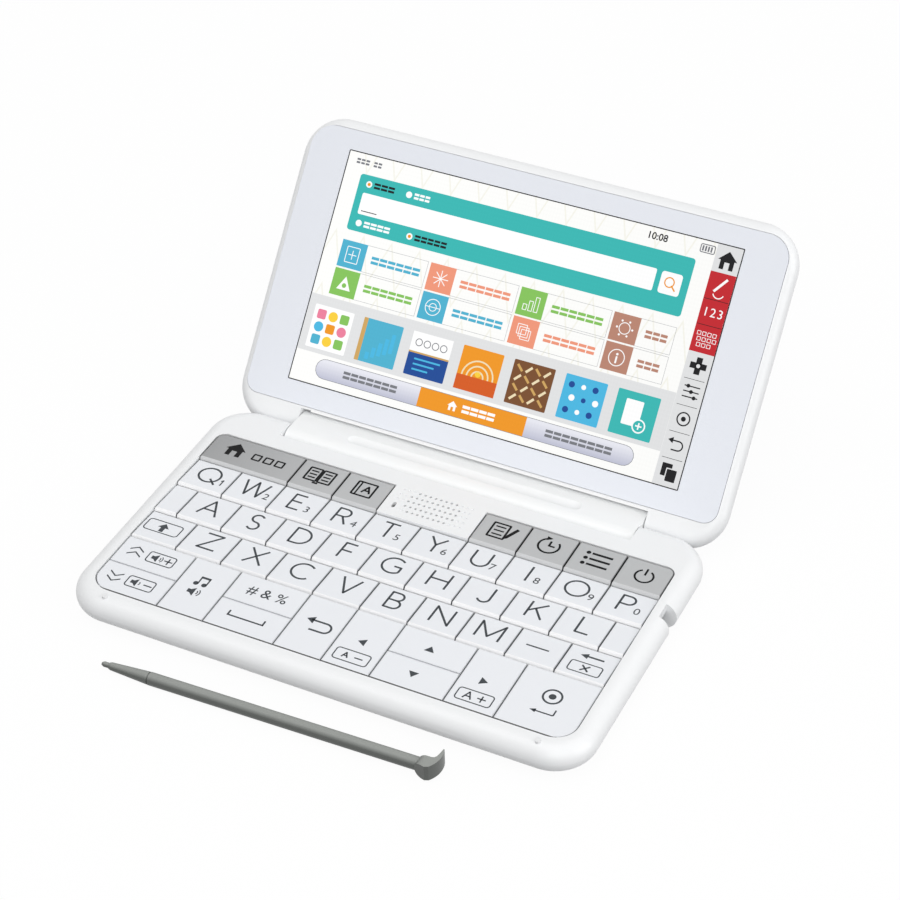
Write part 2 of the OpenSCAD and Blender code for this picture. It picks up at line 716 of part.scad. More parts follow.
module lid_pin_bores() {
    for (s = [-1, 1]) translate([s * (notch_half + pin_reach / 2), 0, 0]) rotate([0, 90, 0])
        cylinder(r = pin_r + pin_clearance, h = pin_reach + 2, center = true, $fn = fine);
}

module lid_back() {
    low = lid_notch_v + lid_rim + wall / 2;
    high = lid_reach - lid_rim;
    rib_step = body_w / 5;
    color("white") at_lid() difference() {
        intersection() {
            lid_pebble();
            translate([-half_w, -lid_t, -lid_t]) cube([body_w, lid_reach + 2 * lid_t, lid_t]);
        }
        lid_notch();
        lid_pin_bores();
        // hollow behind the display, with ribs left standing that carry it
        translate([0, 0, -lid_edge_r + wall]) linear_extrude(lid_t) difference() {
            plate(-half_w + lid_rim, half_w - lid_rim, low, high, 3, corner_r - lid_rim);
            for (i = [-1.5 : 1.5]) translate([i * rib_step - 0.5, low - 1]) square([1, high - low + 2]);
            for (part = [1 / 3, 2 / 3])
                translate([-half_w, low + part * (high - low) - 0.5]) square([body_w, 1]);
        }
    }
}

module lid_frame() {
    color("white") at_lid() difference() {
        intersection() {
            lid_pebble();
            translate([-half_w, -lid_t, 0]) cube([body_w, lid_reach + 2 * lid_t, lid_t]);
        }
        lid_notch();
        lid_pin_bores();
        translate([0, 0, lid_edge_r - pocket_t]) linear_extrude(lid_t)
            plate(-glass_half - glass_gap, glass_half + glass_gap, glass_low - glass_gap,
                  glass_top + glass_gap, glass_r_low + glass_gap, glass_r_top + glass_gap);
        translate([-module_half - 0.3, module_low - 0.3, -1])
            cube([2 * module_half + 0.6, module_top - module_low + 0.6, lid_t]);
    }
}

module display_glass() {
    color("aliceblue") at_lid() {
        translate([0, 0, lid_edge_r - glass_t]) linear_extrude(glass_t)
            plate(-glass_half, glass_half, glass_low, glass_top, glass_r_low, glass_r_top);
        translate([-module_half, module_low, module_back])
            cube([2 * module_half, module_top - module_low, module_t + eps]);
    }
}

// ---------- stylus ----------

// Head seen along its thickness: X points out of the silo, Y to the horn's tip
module head_2d() {
    outer_r = 7.25;
    intersection() {
        polygon([[-head_deep, -head_drop + 0.9], [-2.75, -head_drop], [-1.6, -head_drop + 0.45],
                 [0, -head_drop + 0.6], [0.5, horn_rise], [-0.75, horn_rise], [-1, horn_root + 1.9],
                 [-1.25, horn_root + 0.8], [-1.7, horn_root + 0.2], [-2.4, horn_root],
                 [-head_deep, horn_root]]);
        translate([-outer_r, 2.1]) circle(r = outer_r, $fn = fine);
    }
}

// Head with its inner end rounded over the thickness
module head() {
    mid = head_t / 2;
    intersection() {
        translate([0, 0, -head_low]) linear_extrude(head_t) head_2d();
        translate([0, 2 * head_t, mid - head_low]) rotate([90, 0, 0]) linear_extrude(4 * head_t) {
            translate([mid - head_deep, 0]) circle(r = mid, $fn = fine);
            translate([mid - head_deep, -mid]) square([head_deep, head_t]);
        }
    }
}

// Stylus in its own frame: the head's outer face at x = 0, the shaft along -X
module stylus_solid() {
    shaft_end = -stylus_len + stylus_cone;
    nib = 2.6;
    seam = 0.35;
    head();
    translate([shaft_end, 0, 0]) rotate([0, 90, 0])
        cylinder(r = stylus_r, h = -head_deep + 2 - shaft_end, $fn = fine);
    // tip, grip and seam are turned in one piece with the shaft
    translate([-stylus_len, 0, 0]) rotate([0, 90, 0]) rotate_extrude($fn = fine) polygon([
        [0, 0], [stylus_tip_r * 0.6, 0.1], [stylus_tip_r, 0.7], [stylus_tip_r, nib - 0.3],
        [stylus_tip_r + 0.12, nib - 0.3], [stylus_tip_r + 0.35, nib + 0.3],
        [stylus_r - 0.08, stylus_cone - seam - 0.6], [stylus_r - 0.08, stylus_cone - seam],
        [stylus_r - 0.3, stylus_cone - seam], [stylus_r - 0.3, stylus_cone + eps], [0, stylus_cone + eps]]);
}

// Lying on the table, turned a little, on its tip and on the flat of its head
module stylus() {
    yaw = 0.96;
    head_x = 42.25;
    head_y = front_y - 10.05;
    inner = head_deep - head_t / 2;
    dip = atan((head_low - stylus_tip_r) / (stylus_len - inner - 0.7));
    lift = head_low * cos(dip) + inner * sin(dip);
    color("slategray") translate([head_x, head_y, lift - foot_h]) rotate([0, -dip, yaw]) stylus_solid();
}

bottom_case();
top_case();
battery_cover();
battery();
circuit_board();
key_sheet();
speaker();
stylus_silo();
rubber_pads();
case_screws();
hinge_block();
hinge_pins();
lid_back();
lid_frame();
display_glass();
stylus();
for (k = KEYS) key(k);
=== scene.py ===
"""Looks of a folding pocket dictionary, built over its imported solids.

Sizes are in millimetres unless a name or a comment says otherwise. The frame is the solids' own:
the origin lies under the middle of the base, +Y runs back to the hinge and +Z up.
"""

import math

import bmesh
import bpy
from bpy.props import FloatProperty, FloatVectorProperty, PointerProperty
from bpy.types import Operator, Panel, PropertyGroup
from mathutils import Matrix, Vector


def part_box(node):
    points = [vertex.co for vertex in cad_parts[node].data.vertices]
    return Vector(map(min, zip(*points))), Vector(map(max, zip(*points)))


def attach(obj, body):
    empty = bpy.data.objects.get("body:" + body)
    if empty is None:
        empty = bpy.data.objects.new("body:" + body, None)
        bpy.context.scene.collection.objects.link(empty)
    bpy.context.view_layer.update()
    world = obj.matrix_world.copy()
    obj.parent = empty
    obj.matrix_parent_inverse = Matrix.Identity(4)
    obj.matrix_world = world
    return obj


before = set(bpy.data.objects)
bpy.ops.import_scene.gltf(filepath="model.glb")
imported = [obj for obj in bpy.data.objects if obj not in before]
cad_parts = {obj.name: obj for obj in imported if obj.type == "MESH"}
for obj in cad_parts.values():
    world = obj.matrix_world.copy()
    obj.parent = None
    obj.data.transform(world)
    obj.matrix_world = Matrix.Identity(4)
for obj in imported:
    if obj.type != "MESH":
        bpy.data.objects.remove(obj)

bl_info = {
    "name": "Pocket dictionary",
    "version": (1, 0, 0),
    "blender": (4, 5, 0),
    "location": "3D Viewport > Sidebar > Dictionary",
    "description": "Finishes, key legends and display picture of a folding pocket dictionary",
    "category": "Object",
}

MM = 0.001
THICK = 0.02              # thickness of a printed legend and of one layer of the display picture
CAPITAL = 0.682           # height of a capital letter of the built-in font at size 1

# Places that the solids' named values give
KEY_BAND = 0.68           # front band and chamfer of a ridged key
KEY_CHAMFER = 0.18
KEY_DROP = 0.75           # fall of a ridged key's top towards the rear
GREY_DROP = 0.15          # the same for a function key
ROW_PITCH = 12.5
FILLER_X = (63.4, 70.7)   # blank half keys beside the second row, moulded with the deck
FILLER_Y = (-5.85, 6.5)
GROOVE_Y = -29.45         # middle of the groove across a rocker key
GROOVE_HALF = 0.5
LID_AXIS = (0.0, 50.7, 4.4)
LID_LEAN = 50.93          # degrees from level
PICTURE_LEVEL = 3.71      # underside of the picture above the lid's middle
PICTURE_X = 60.88         # half width of the display picture
PICTURE_LOW = 11.37
PICTURE_HIGH = 79.86
TABLE_LEVEL = -1.3        # the stylus lies on the table

# Colours of the key faces, with a painted highlight on the front bands and painted shade in the
# gaps
BAND_LEAD = 0.3           # how far the front band's painted highlight reaches ahead of the keys
BAND_DEPTH = 1.05         # from there to its rear edge
BAND_EDGE = 0.08          # softness of that edge
SHADED_RIM_WIDTH = 0.3                 # painted shade: a dark line along the front of the flat keys, for their shaded rounded edge
# painted shade on the flat keys' front faces and along their front edge
PAINTED_SHADE = (0.1, 0.1, 0.1)
FADE = 0.66               # share of a function key's tone at the left end
FADE_X = (-72.0, -30.0)   # it rises to the whole between these places

# Display
CELLS = 6600.0            # radians per metre of the faint cell grid
ZIGZAG = {"run": 4.5, "slope": 0.58, "shifts": (0.0, 3.3), "row": 4.8, "line": 0.14}
SHEEN = {"lavender": (17.6, 21.4, (233, 234, 242))}     # heights of a change to a paler tone

# Camera that fits the photo, in metres: its place and its right, up and back directions
LENS = 104.13
SENSOR = 36.0
CAMERA_PLACE = (0.25057, -0.46586, 0.47223)
CAMERA_AXES = ((0.899448, 0.436858, -0.012176), (-0.264599, 0.566535, 0.780401),
               (0.347822, -0.698708, 0.625161))
TABLE_SIZE = 2.5          # metres

# Letter, its shift across its key, and the digit with its own shift
LETTER_ROWS = (
    ("Q", -0.3, "1", 4.5), ("W", 0.0, "2", 4.6), ("E", -0.6, "3", 3.37), ("R", -0.55, "4", 3.85),
    ("T", -0.35, "5", 3.1), ("Y", 0.0, "6", 3.35), ("U", -0.35, "7", 3.8), ("I", -0.2, "8", 2.8),
    ("O", -0.3, "9", 4.4), ("P", -0.1, "0", 3.6), ("A", 0.15), ("S", 0.15), ("D", 0.55),
    ("F", 0.5), ("G", 0.2), ("H", 0.2), ("J", 0.25), ("K", 0.6), ("L", 0.6), ("Z", 0.2),
    ("X", 0.3), ("C", 0.2), ("V", 0.4), ("B", 0.25), ("N", 0.15), ("M", 0.0))
# Middle lines of the letters' strokes, as shares of half the height between the upper and the
# lower stroke: a line has points to join, an arc has a middle, a radius, a start and a sweep
LETTER_STROKES = {
    "A": (((-0.88, -1), (0, 1), (0.88, -1)), ((-0.56, -0.28), (0.56, -0.28))),
    "B": (((0.05, 1), (-0.62, 1), (-0.62, -1), (0.1, -1)), ((-0.62, 0.04), (0.1, 0.04)),
          (0.05, 0.52, 0.48, -90, 180), (0.1, -0.48, 0.52, -90, 180)),
    "C": ((0.14, 0, 1, 47, 266),),
    "D": (((-0.2, 1), (-0.8, 1), (-0.8, -1), (-0.2, -1)), (-0.2, 0, 1, -90, 180)),
    "E": (((0.52, 1), (-0.52, 1), (-0.52, -1), (0.52, -1)), ((-0.52, 0.04), (0.44, 0.04))),
    "F": (((0.52, 1), (-0.52, 1), (-0.52, -1)), ((-0.52, 0), (0.42, 0))),
    "G": ((0.12, 0, 1, 47, 270), ((0.84, -0.68), (0.84, -0.06), (0.2, -0.06))),
    "H": (((-0.82, 1), (-0.82, -1)), ((0.82, 1), (0.82, -1)), ((-0.82, 0.04), (0.82, 0.04))),
    "I": (((0, 1), (0, -1)),),
    "J": (((0.42, 1), (0.42, -0.48)), (-0.1, -0.48, 0.52, 205, 155)),
    "K": (((-0.7, 1), (-0.7, -1)), ((0.68, 1), (-0.7, -0.28)), ((-0.16, 0.2), (0.74, -1))),
    "L": (((-0.55, 1), (-0.55, -1), (0.56, -1)),),
    "M": (((-1.02, -1), (-1.02, 1), (0, -0.72), (1.02, 1), (1.02, -1)),),
    "N": (((-0.82, -1), (-0.82, 1), (0.82, -1), (0.82, 1)),),
    "O": ((0, 0, 0.99, 0, 360),),
    "P": (((0.05, 1), (-0.6, 1), (-0.6, -1)), ((-0.6, -0.08), (0.05, -0.08)),
          (0.05, 0.46, 0.54, -90, 180)),
    "Q": ((0, 0, 0.99, 0, 360), ((0.26, -0.44), (0.94, -1.12))),
    "R": (((0.05, 1), (-0.6, 1), (-0.6, -1)), ((-0.6, -0.04), (0.05, -0.04)),
          (0.05, 0.48, 0.52, -90, 180), ((0.06, -0.04), (0.64, -1))),
    "S": ((0.02, 0.5, 0.5, 35, 235), (0.02, -0.5, 0.5, 215, 235)),
    "T": (((-0.68, 1), (0.68, 1)), ((0, 1), (0, -1))),
    "U": (((-0.76, 1), (-0.76, -0.24)), (0, -0.24, 0.76, 180, 180), ((0.76, -0.24), (0.76, 1))),
    "V": (((-0.84, 1), (0, -1), (0.84, 1)),),
    "W": (((-1.12, 1), (-0.56, -1), (0, 1), (0.56, -1), (1.12, 1)),),
    "X": (((-0.78, 1), (0.82, -1)), ((0.78, 1), (-0.82, -1))),
    "Y": (((-0.72, 1), (0, 0), (0.72, 1)), ((0, 0), (0, -1))),
    "Z": (((-0.74, 1), (0.76, 1), (-0.8, -1), (0.82, -1)),),
}
GREY_KEYS = ("key_home", "key_book_a", "key_book_b", "key_notes", "key_history", "key_contents",
             "key_power")
FLAT_KEYS = ("key_page_rocker", "key_sound", "key_space_rocker", "key_back", "key_left",
             "key_updown_rocker", "key_right", "key_enter")
RIDGED_KEYS = tuple(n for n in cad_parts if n.startswith("key_") and n != "key_sheet"
                    and n not in GREY_KEYS + FLAT_KEYS)
INKS = {
    "black": (22, 22, 24), "white": (255, 255, 255), "page_grey": (226, 227, 228),
    "line_grey": (176, 178, 180), "text_grey": (120, 122, 128), "blue": (78, 178, 208),
    "green": (134, 196, 92), "coral": (240, 152, 122), "brown": (186, 134, 114),
    "lavender": (193, 195, 213), "orange": (240, 152, 30), "ochre": (208, 166, 96),
    "navy": (26, 74, 150), "sky": (74, 184, 226), "umber": (122, 78, 44), "cream": (240, 224, 186),
    "pink": (236, 128, 158), "yellow": (250, 208, 60), "deep_orange": (214, 92, 28),
}


def srgb(red, green, blue):
    """Linear colour of an 8-bit screen colour."""
    def linear(value):
        value /= 255
        return value / 12.92 if value <= 0.04045 else ((value + 0.055) / 1.055) ** 2.4
    return linear(red), linear(green), linear(blue)


# ---------- settings ----------

def colour(name, description, default):
    return FloatVectorProperty(name=name, description=description, subtype="COLOR", size=3,
                               min=0.0, max=1.0, default=srgb(*default))


def length(name, description, default):
    return FloatProperty(name=name, description=description, default=default, min=0.0, unit="NONE")


def lamp_share(name, default):
    return length(name, "Share of its full brightness that this lamp gives a white sheet", default)


class CaseLook(PropertyGroup):
    shell: colour("Shell", "Colour of the moulded cases", (245, 246, 247))
    grain: length("Grain", "Grain cells per metre of the moulded shell", 2600.0)
    glass: colour("Glass border", "Print behind the glass round the picture", (239, 242, 249))
    rubber: colour("Rubber", "Colour of the feet and the stop buds", (237, 238, 239))


class KeyLook(PropertyGroup):
    white: colour("Key top", "Colour of the letter keys", (240, 242, 246))
    # The front band colours are a painted highlight: lighter than the top, where a slope would
    # catch the light.
    band: colour("Front band", "Colour of a letter key's front", (253, 253, 254))
    grey: colour("Function keys", "Colour of the seven function keys", (190, 191, 192))
    grey_band: colour("Function key front", "Colour of a function key's front", (212, 213, 214))
    # Painted shade: the key sides take this dark colour to stand for the shade in the gaps.
    side: colour("Key side", "Colour of the letter keys' sides", (152, 154, 157))
    ink: colour("Legend", "Ink of the letters and signs", (72, 76, 80))
    ink_dark: colour("Dark legend", "Ink on the function keys", (24, 24, 25))
    letter_height: length("Letter height", "Height of a capital letter in mm", 7.2)
    letter_line: length("Letter line", "Width of a letter's strokes in mm", 0.62)
    digit_height: length("Digit height", "Height of a small digit in mm", 2.6)


class PictureLook(PropertyGroup):
    page: colour("Page", "Background of the display picture", (253, 253, 251))
    trace: colour("Trace", "Faint pattern over the page", (246, 245, 236))
    panel: colour("Search panel", "Colour of the search panel", (56, 184, 180))
    marked: colour("Marked tab", "Colour of the chosen tab", (240, 152, 30))
    alarm: colour("Side block", "Colour of the block in the side bar", (196, 36, 44))


class StageLook(PropertyGroup):
    sky: length("Surrounding light", "Strength of the even light", 0.56)
    upper: lamp_share("Upper lamp", 0.2)
    front: lamp_share("Front lamp", 0.25)
    side: lamp_share("Side lamp", 0.32)
    floor: colour("Floor", "Colour that the table throws back on the object", (125, 126, 128))


# ---------- node groups and materials ----------

class Wiring:
    """Adds nodes to one tree and joins them."""

    def __init__(self, tree):
        self.tree = tree

    def put(self, socket, value):
        """Joins an output to an input, or sets the input's own value."""
        if isinstance(value, bpy.types.NodeSocket):
            self.tree.links.new(value, socket)
        elif socket.type == "RGBA":
            socket.default_value = tuple(value)[:3] + (1.0,)
        else:
            socket.default_value = value

    def add(self, kind, inputs=(), **settings):
        """Shader node of a kind, with values or outputs for its inputs."""
        node = self.tree.nodes.new("ShaderNode" + kind)
        for name, value in settings.items():
            setattr(node, name, value)
        for name, value in dict(inputs).items():
            self.put(node.inputs[name], value)
        return node

    def group(self, shared, **inputs):
        """Outputs of a shared group that is given these inputs."""
        return self.add("Group", inputs, node_tree=shared()).outputs

    def math(self, operation, first, second=0.5, third=0.5):
        inputs = {0: first, 1: second, 2: third}
        return self.add("Math", inputs, operation=operation).outputs[0]

    def mix(self, factor, first, second, blend="MIX"):
        inputs = {0: factor, 6: first, 7: second}
        return self.add("Mix", inputs, data_type="RGBA", blend_type=blend).outputs[2]

    def shade(self, tint, level):
        """Colour times a grey level."""
        grey = self.add("CombineColor", {0: level, 1: level, 2: level})
        return self.mix(1.0, tint, grey.outputs[0], "MULTIPLY")

    def between(self, value, low, high):
        """Rises from 0 at the low value to 1 at the high one."""
        inputs = {"Value": value, "From Min": low, "From Max": high}
        return self.add("MapRange", inputs).outputs[0]

    def noise(self, vector, scale, **inputs):
        inputs.update(Vector=vector, Scale=scale)
        return self.add("TexNoise", inputs).outputs["Fac"]

    def split(self, vector):
        return self.add("SeparateXYZ", {0: vector}).outputs

    def rays(self):
        """1 on a camera ray, and 1 on any ray that shows what it meets."""
        rays = self.add("LightPath").outputs
        camera = rays["Is Camera Ray"]
        mirrored = self.math("MAXIMUM", rays["Is Glossy Ray"], rays["Is Transmission Ray"])
        return camera, self.math("MAXIMUM", camera, mirrored)


def shared_group(vectors, colours="", values=""):
    """Makes the function below it a node group with these named inputs, wired once."""
    kinds = {"NodeSocketVector": vectors, "NodeSocketColor": colours, "NodeSocketFloat": values}

    def keep(wire):
        def get():
            tree = bpy.data.node_groups.get(wire.__name__)
            if tree:
                return tree
            tree = bpy.data.node_groups.new(wire.__name__, "ShaderNodeTree")
            sockets = tree.interface
            for kind, titles in kinds.items():
                for title in titles.split():
                    sockets.new_socket(title, in_out="INPUT", socket_type=kind)
            wiring = Wiring(tree)
            made = wire(wiring, wiring.math, tree.nodes.new("NodeGroupInput").outputs)
            for title, value in made.items():
                sockets.new_socket(title, in_out="OUTPUT", socket_type=value.bl_idname)
            out = tree.nodes.new("NodeGroupOutput")
            for title, value in made.items():
                wiring.put(out.inputs[title], value)
            return tree
        return get
    return keep


@shared_group("Vector", "Colour", "Grain Tone Roughness Spread")
def moulded_skin(wiring, calc, given):
    """Fine spark-eroded grain with faint flow tone, as on a moulded plastic skin."""
    where, grain = given["Vector"], given["Grain"]
    fine = wiring.noise(where, grain, Detail=3.0, Roughness=0.6)
    flow = calc("SUBTRACT", wiring.noise(where, 38.0, Detail=3.0), 0.5)
    cells = wiring.add("TexVoronoi", {"Vector": where, "Scale": grain})
    bright = calc("ADD", calc("MULTIPLY", flow, given["Tone"]), 1.0)
    uneven = calc("MULTIPLY", flow, given["Spread"])
    coarse = calc("MULTIPLY", cells.outputs["Distance"], 0.4)
    return {"Colour": wiring.shade(given["Colour"], bright),
            "Roughness": calc("ADD", given["Roughness"], uneven),
            "Height": calc("ADD", calc("MULTIPLY", fine, 0.6), coarse)}


@shared_group("Vector Facing", "Top Band Side", "Edge Flat")
def key_faces(wiring, calc, given):
    """Key faces: top, front band with painted highlight, painted shade on the sides and rears."""
    at, facing, flat = wiring.split(given["Vector"]), wiring.split(given["Facing"]), given["Flat"]
    # Painted highlight: the front band of each row, reaching a little ahead and onto the top, takes
    # the Band colour.
    along = calc("SUBTRACT", at["Y"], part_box("key_a")[0].y - BAND_LEAD * MM)
    into = calc("WRAP", along, ROW_PITCH * MM, 0.0)
    edge = calc("DIVIDE", calc("SUBTRACT", BAND_DEPTH * MM, into), BAND_EDGE * MM)
    band = wiring.add("Clamp", {0: edge}).outputs[0]
    upper = wiring.mix(calc("MULTIPLY", band, calc("SUBTRACT", 1.0, flat)), given["Top"],
                       given["Band"])
    groove = calc("COMPARE", at["Y"], GROOVE_Y * MM, GROOVE_HALF * MM)
    plain = calc("SUBTRACT", 1.0, calc("MULTIPLY", groove, 0.75))
    # Painted shade: side faces, and rear faces mostly spared in the rocker's groove, take the Side
    # colour for the shade in the gaps.
    sideways = wiring.between(calc("ABSOLUTE", facing["X"]), 0.5, 0.85)
    rear = calc("MULTIPLY", calc("GREATER_THAN", facing["Y"], 0.9), plain)
    shaded_walls = wiring.mix(calc("MAXIMUM", sideways, rear), upper, given["Side"])
    # Painted shade: the flat keys' front faces and a strip along their front edge are painted dark,
    # for the shaded gap and rounded edge.
    front = calc("MULTIPLY", calc("LESS_THAN", facing["Y"], -0.9), calc("MULTIPLY", flat, plain))
    shaded_rim_mask = calc("LESS_THAN", at["Y"], given["Edge"])
    return {"Colour": wiring.mix(calc("MAXIMUM", front, shaded_rim_mask), shaded_walls, PAINTED_SHADE)}


@shared_group("Vector", "Colour", "Fade")
def display_cells(wiring, calc, given):
    """Colour of a lit display area: a slight fall-off and the faint grid of its cells."""
    at = wiring.split(given["Vector"])
    waves = [calc("SINE", calc("MULTIPLY", at[axis], CELLS)) for axis in ("X", "Z")]
    cells = calc("MULTIPLY", calc("ADD", *waves), 0.006)
    fall = calc("MULTIPLY", calc("MULTIPLY", at["X"], 12.0), given["Fade"])
    bright = calc("SUBTRACT", calc("ADD", cells, 0.99), fall)
    return {"Colour": wiring.shade(given["Colour"], bright)}


@shared_group("Vector", values="Clean Marked")
def finger_marks(wiring, calc, given):
    """Faint finger marks that change how rough a glossy face is."""
    broad = wiring.noise(given["Vector"], 55.0, Detail=2.0, Distortion=1.2)
    ridges = wiring.add("TexWave", {
        "Vector": given["Vector"], "Scale": 420.0, "Distortion": 14.0, "Detail": 1.0})
    ridged = calc("MULTIPLY_ADD", ridges.outputs["Fac"], 0.5, 0.5)
    mark = calc("MULTIPLY", wiring.between(broad, 0.52, 0.66), ridged)
    reach = calc("SUBTRACT", given["Marked"], given["Clean"])
    return {"Roughness": calc("MULTIPLY_ADD", mark, reach, given["Clean"])}


class Surface(Wiring):
    """A new material with its Principled shader and the object's own coordinates."""

    def __init__(self, name):
        self.material = bpy.data.materials.new(name)
        self.material.use_nodes = True
        super().__init__(self.material.node_tree)
        self.shader = self.tree.nodes["Principled BSDF"]
        coordinates = self.add("TexCoord").outputs
        self.where, self.facing = coordinates["Object"], coordinates["Normal"]

    def wear(self, inputs):
        """Gives the shader its inputs and returns the material."""
        for name, value in inputs.items():
            self.put(self.shader.inputs[name], value)
        return self.material

    def skin(self, tint, grain, tone, rough, spread):
        return self.group(moulded_skin, Vector=self.where, Colour=tint, Grain=grain, Tone=tone,
                          Roughness=rough, Spread=spread)

    def marks(self, clean, marked):
        return self.group(finger_marks, Vector=self.where, Clean=clean, Marked=marked)["Roughness"]

    def faces(self, top, band, side, edge=-1.0, flat=0.0):
        return self.group(key_faces, Vector=self.where, Facing=self.facing, Top=top, Band=band,
                          Side=side, Edge=edge, Flat=flat)["Colour"]

    def mould(self, tint, grain, tone=0.03, rough=0.42, bump=0.06, coat=0.0, specular=0.5,
              spread=0.1, deep=0.04, coat_rough=0.15, **bumps):
        """Moulded plastic or rubber with its grain."""
        skin = self.skin(tint, grain, tone, rough, spread)
        bumps.update(Strength=bump, Distance=deep * MM, Height=skin["Height"])
        return self.wear({
            "Base Color": skin["Colour"], "Roughness": skin["Roughness"],
            "Normal": self.add("Bump", bumps).outputs["Normal"],
            "Coat Weight": coat, "Coat Roughness": coat_rough, "Specular IOR Level": specular})

    def glow(self, tint, fade, rough):
        """Lit from behind, under the smooth face of the glass."""
        cells = self.group(display_cells, Vector=self.where, Colour=tint, Fade=fade)
        return self.wear({
            "Emission Color": cells["Colour"], "Emission Strength": 1.0, "Roughness": rough,
            "Base Color": (0.004, 0.004, 0.005), "Specular IOR Level": 0.15})


def moulded(name, tint, grain, under=None, **settings):
    """Moulded plastic or rubber, with painted shade on downward faces if a darker tone is given."""
    surface = Surface(name)
    if under:
        # Painted shade: faces that turn downwards take the darker tone.
        painted_shade_to_lit = surface.between(surface.split(surface.facing)["Z"], 0.45, 1.0)
        tint = surface.mix(painted_shade_to_lit, under, tint)
    return surface.mould(tint, grain, **settings)


def legend_ink(name, tint, specular):
    """Printed ink, made once."""
    return bpy.data.materials.get(name) or moulded(
        name, tint, 5200.0, tone=0.06, rough=0.5, bump=0.02, specular=specular)


def lit(ink, look):
    """Lit ink of the display picture, made once."""
    name = "lit_" + ink
    if name in bpy.data.materials:
        return bpy.data.materials[name]
    surface = Surface(name)
    tint = srgb(*INKS[ink]) if ink in INKS else getattr(look, ink)
    if ink in SHEEN:
        low, high, pale = SHEEN[ink]
        climb = surface.between(surface.split(surface.where)["Z"], low * MM, high * MM)
        tint = surface.mix(climb, tint, srgb(*pale))
    return surface.glow(tint, 0.03, surface.marks(0.12, 0.2))


def finish(material, *nodes):
    """Gives CAD nodes their material."""
    for node in nodes:
        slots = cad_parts[node].material_slots
        if not slots:
            raise RuntimeError(f"{node} has no material slot")
        for slot in slots:
            slot.material = material


def new_mesh(name, bm):
    mesh = bpy.data.meshes.new(name)
    bm.to_mesh(mesh)
    bm.free()
    return mesh


def new_object(name, data):
    made = bpy.data.objects.new(name, data)
    bpy.context.scene.collection.objects.link(made)
    return made


# ---------- thin printed shapes ----------

LIFT = Matrix.Translation((0, 0, THICK / 2))


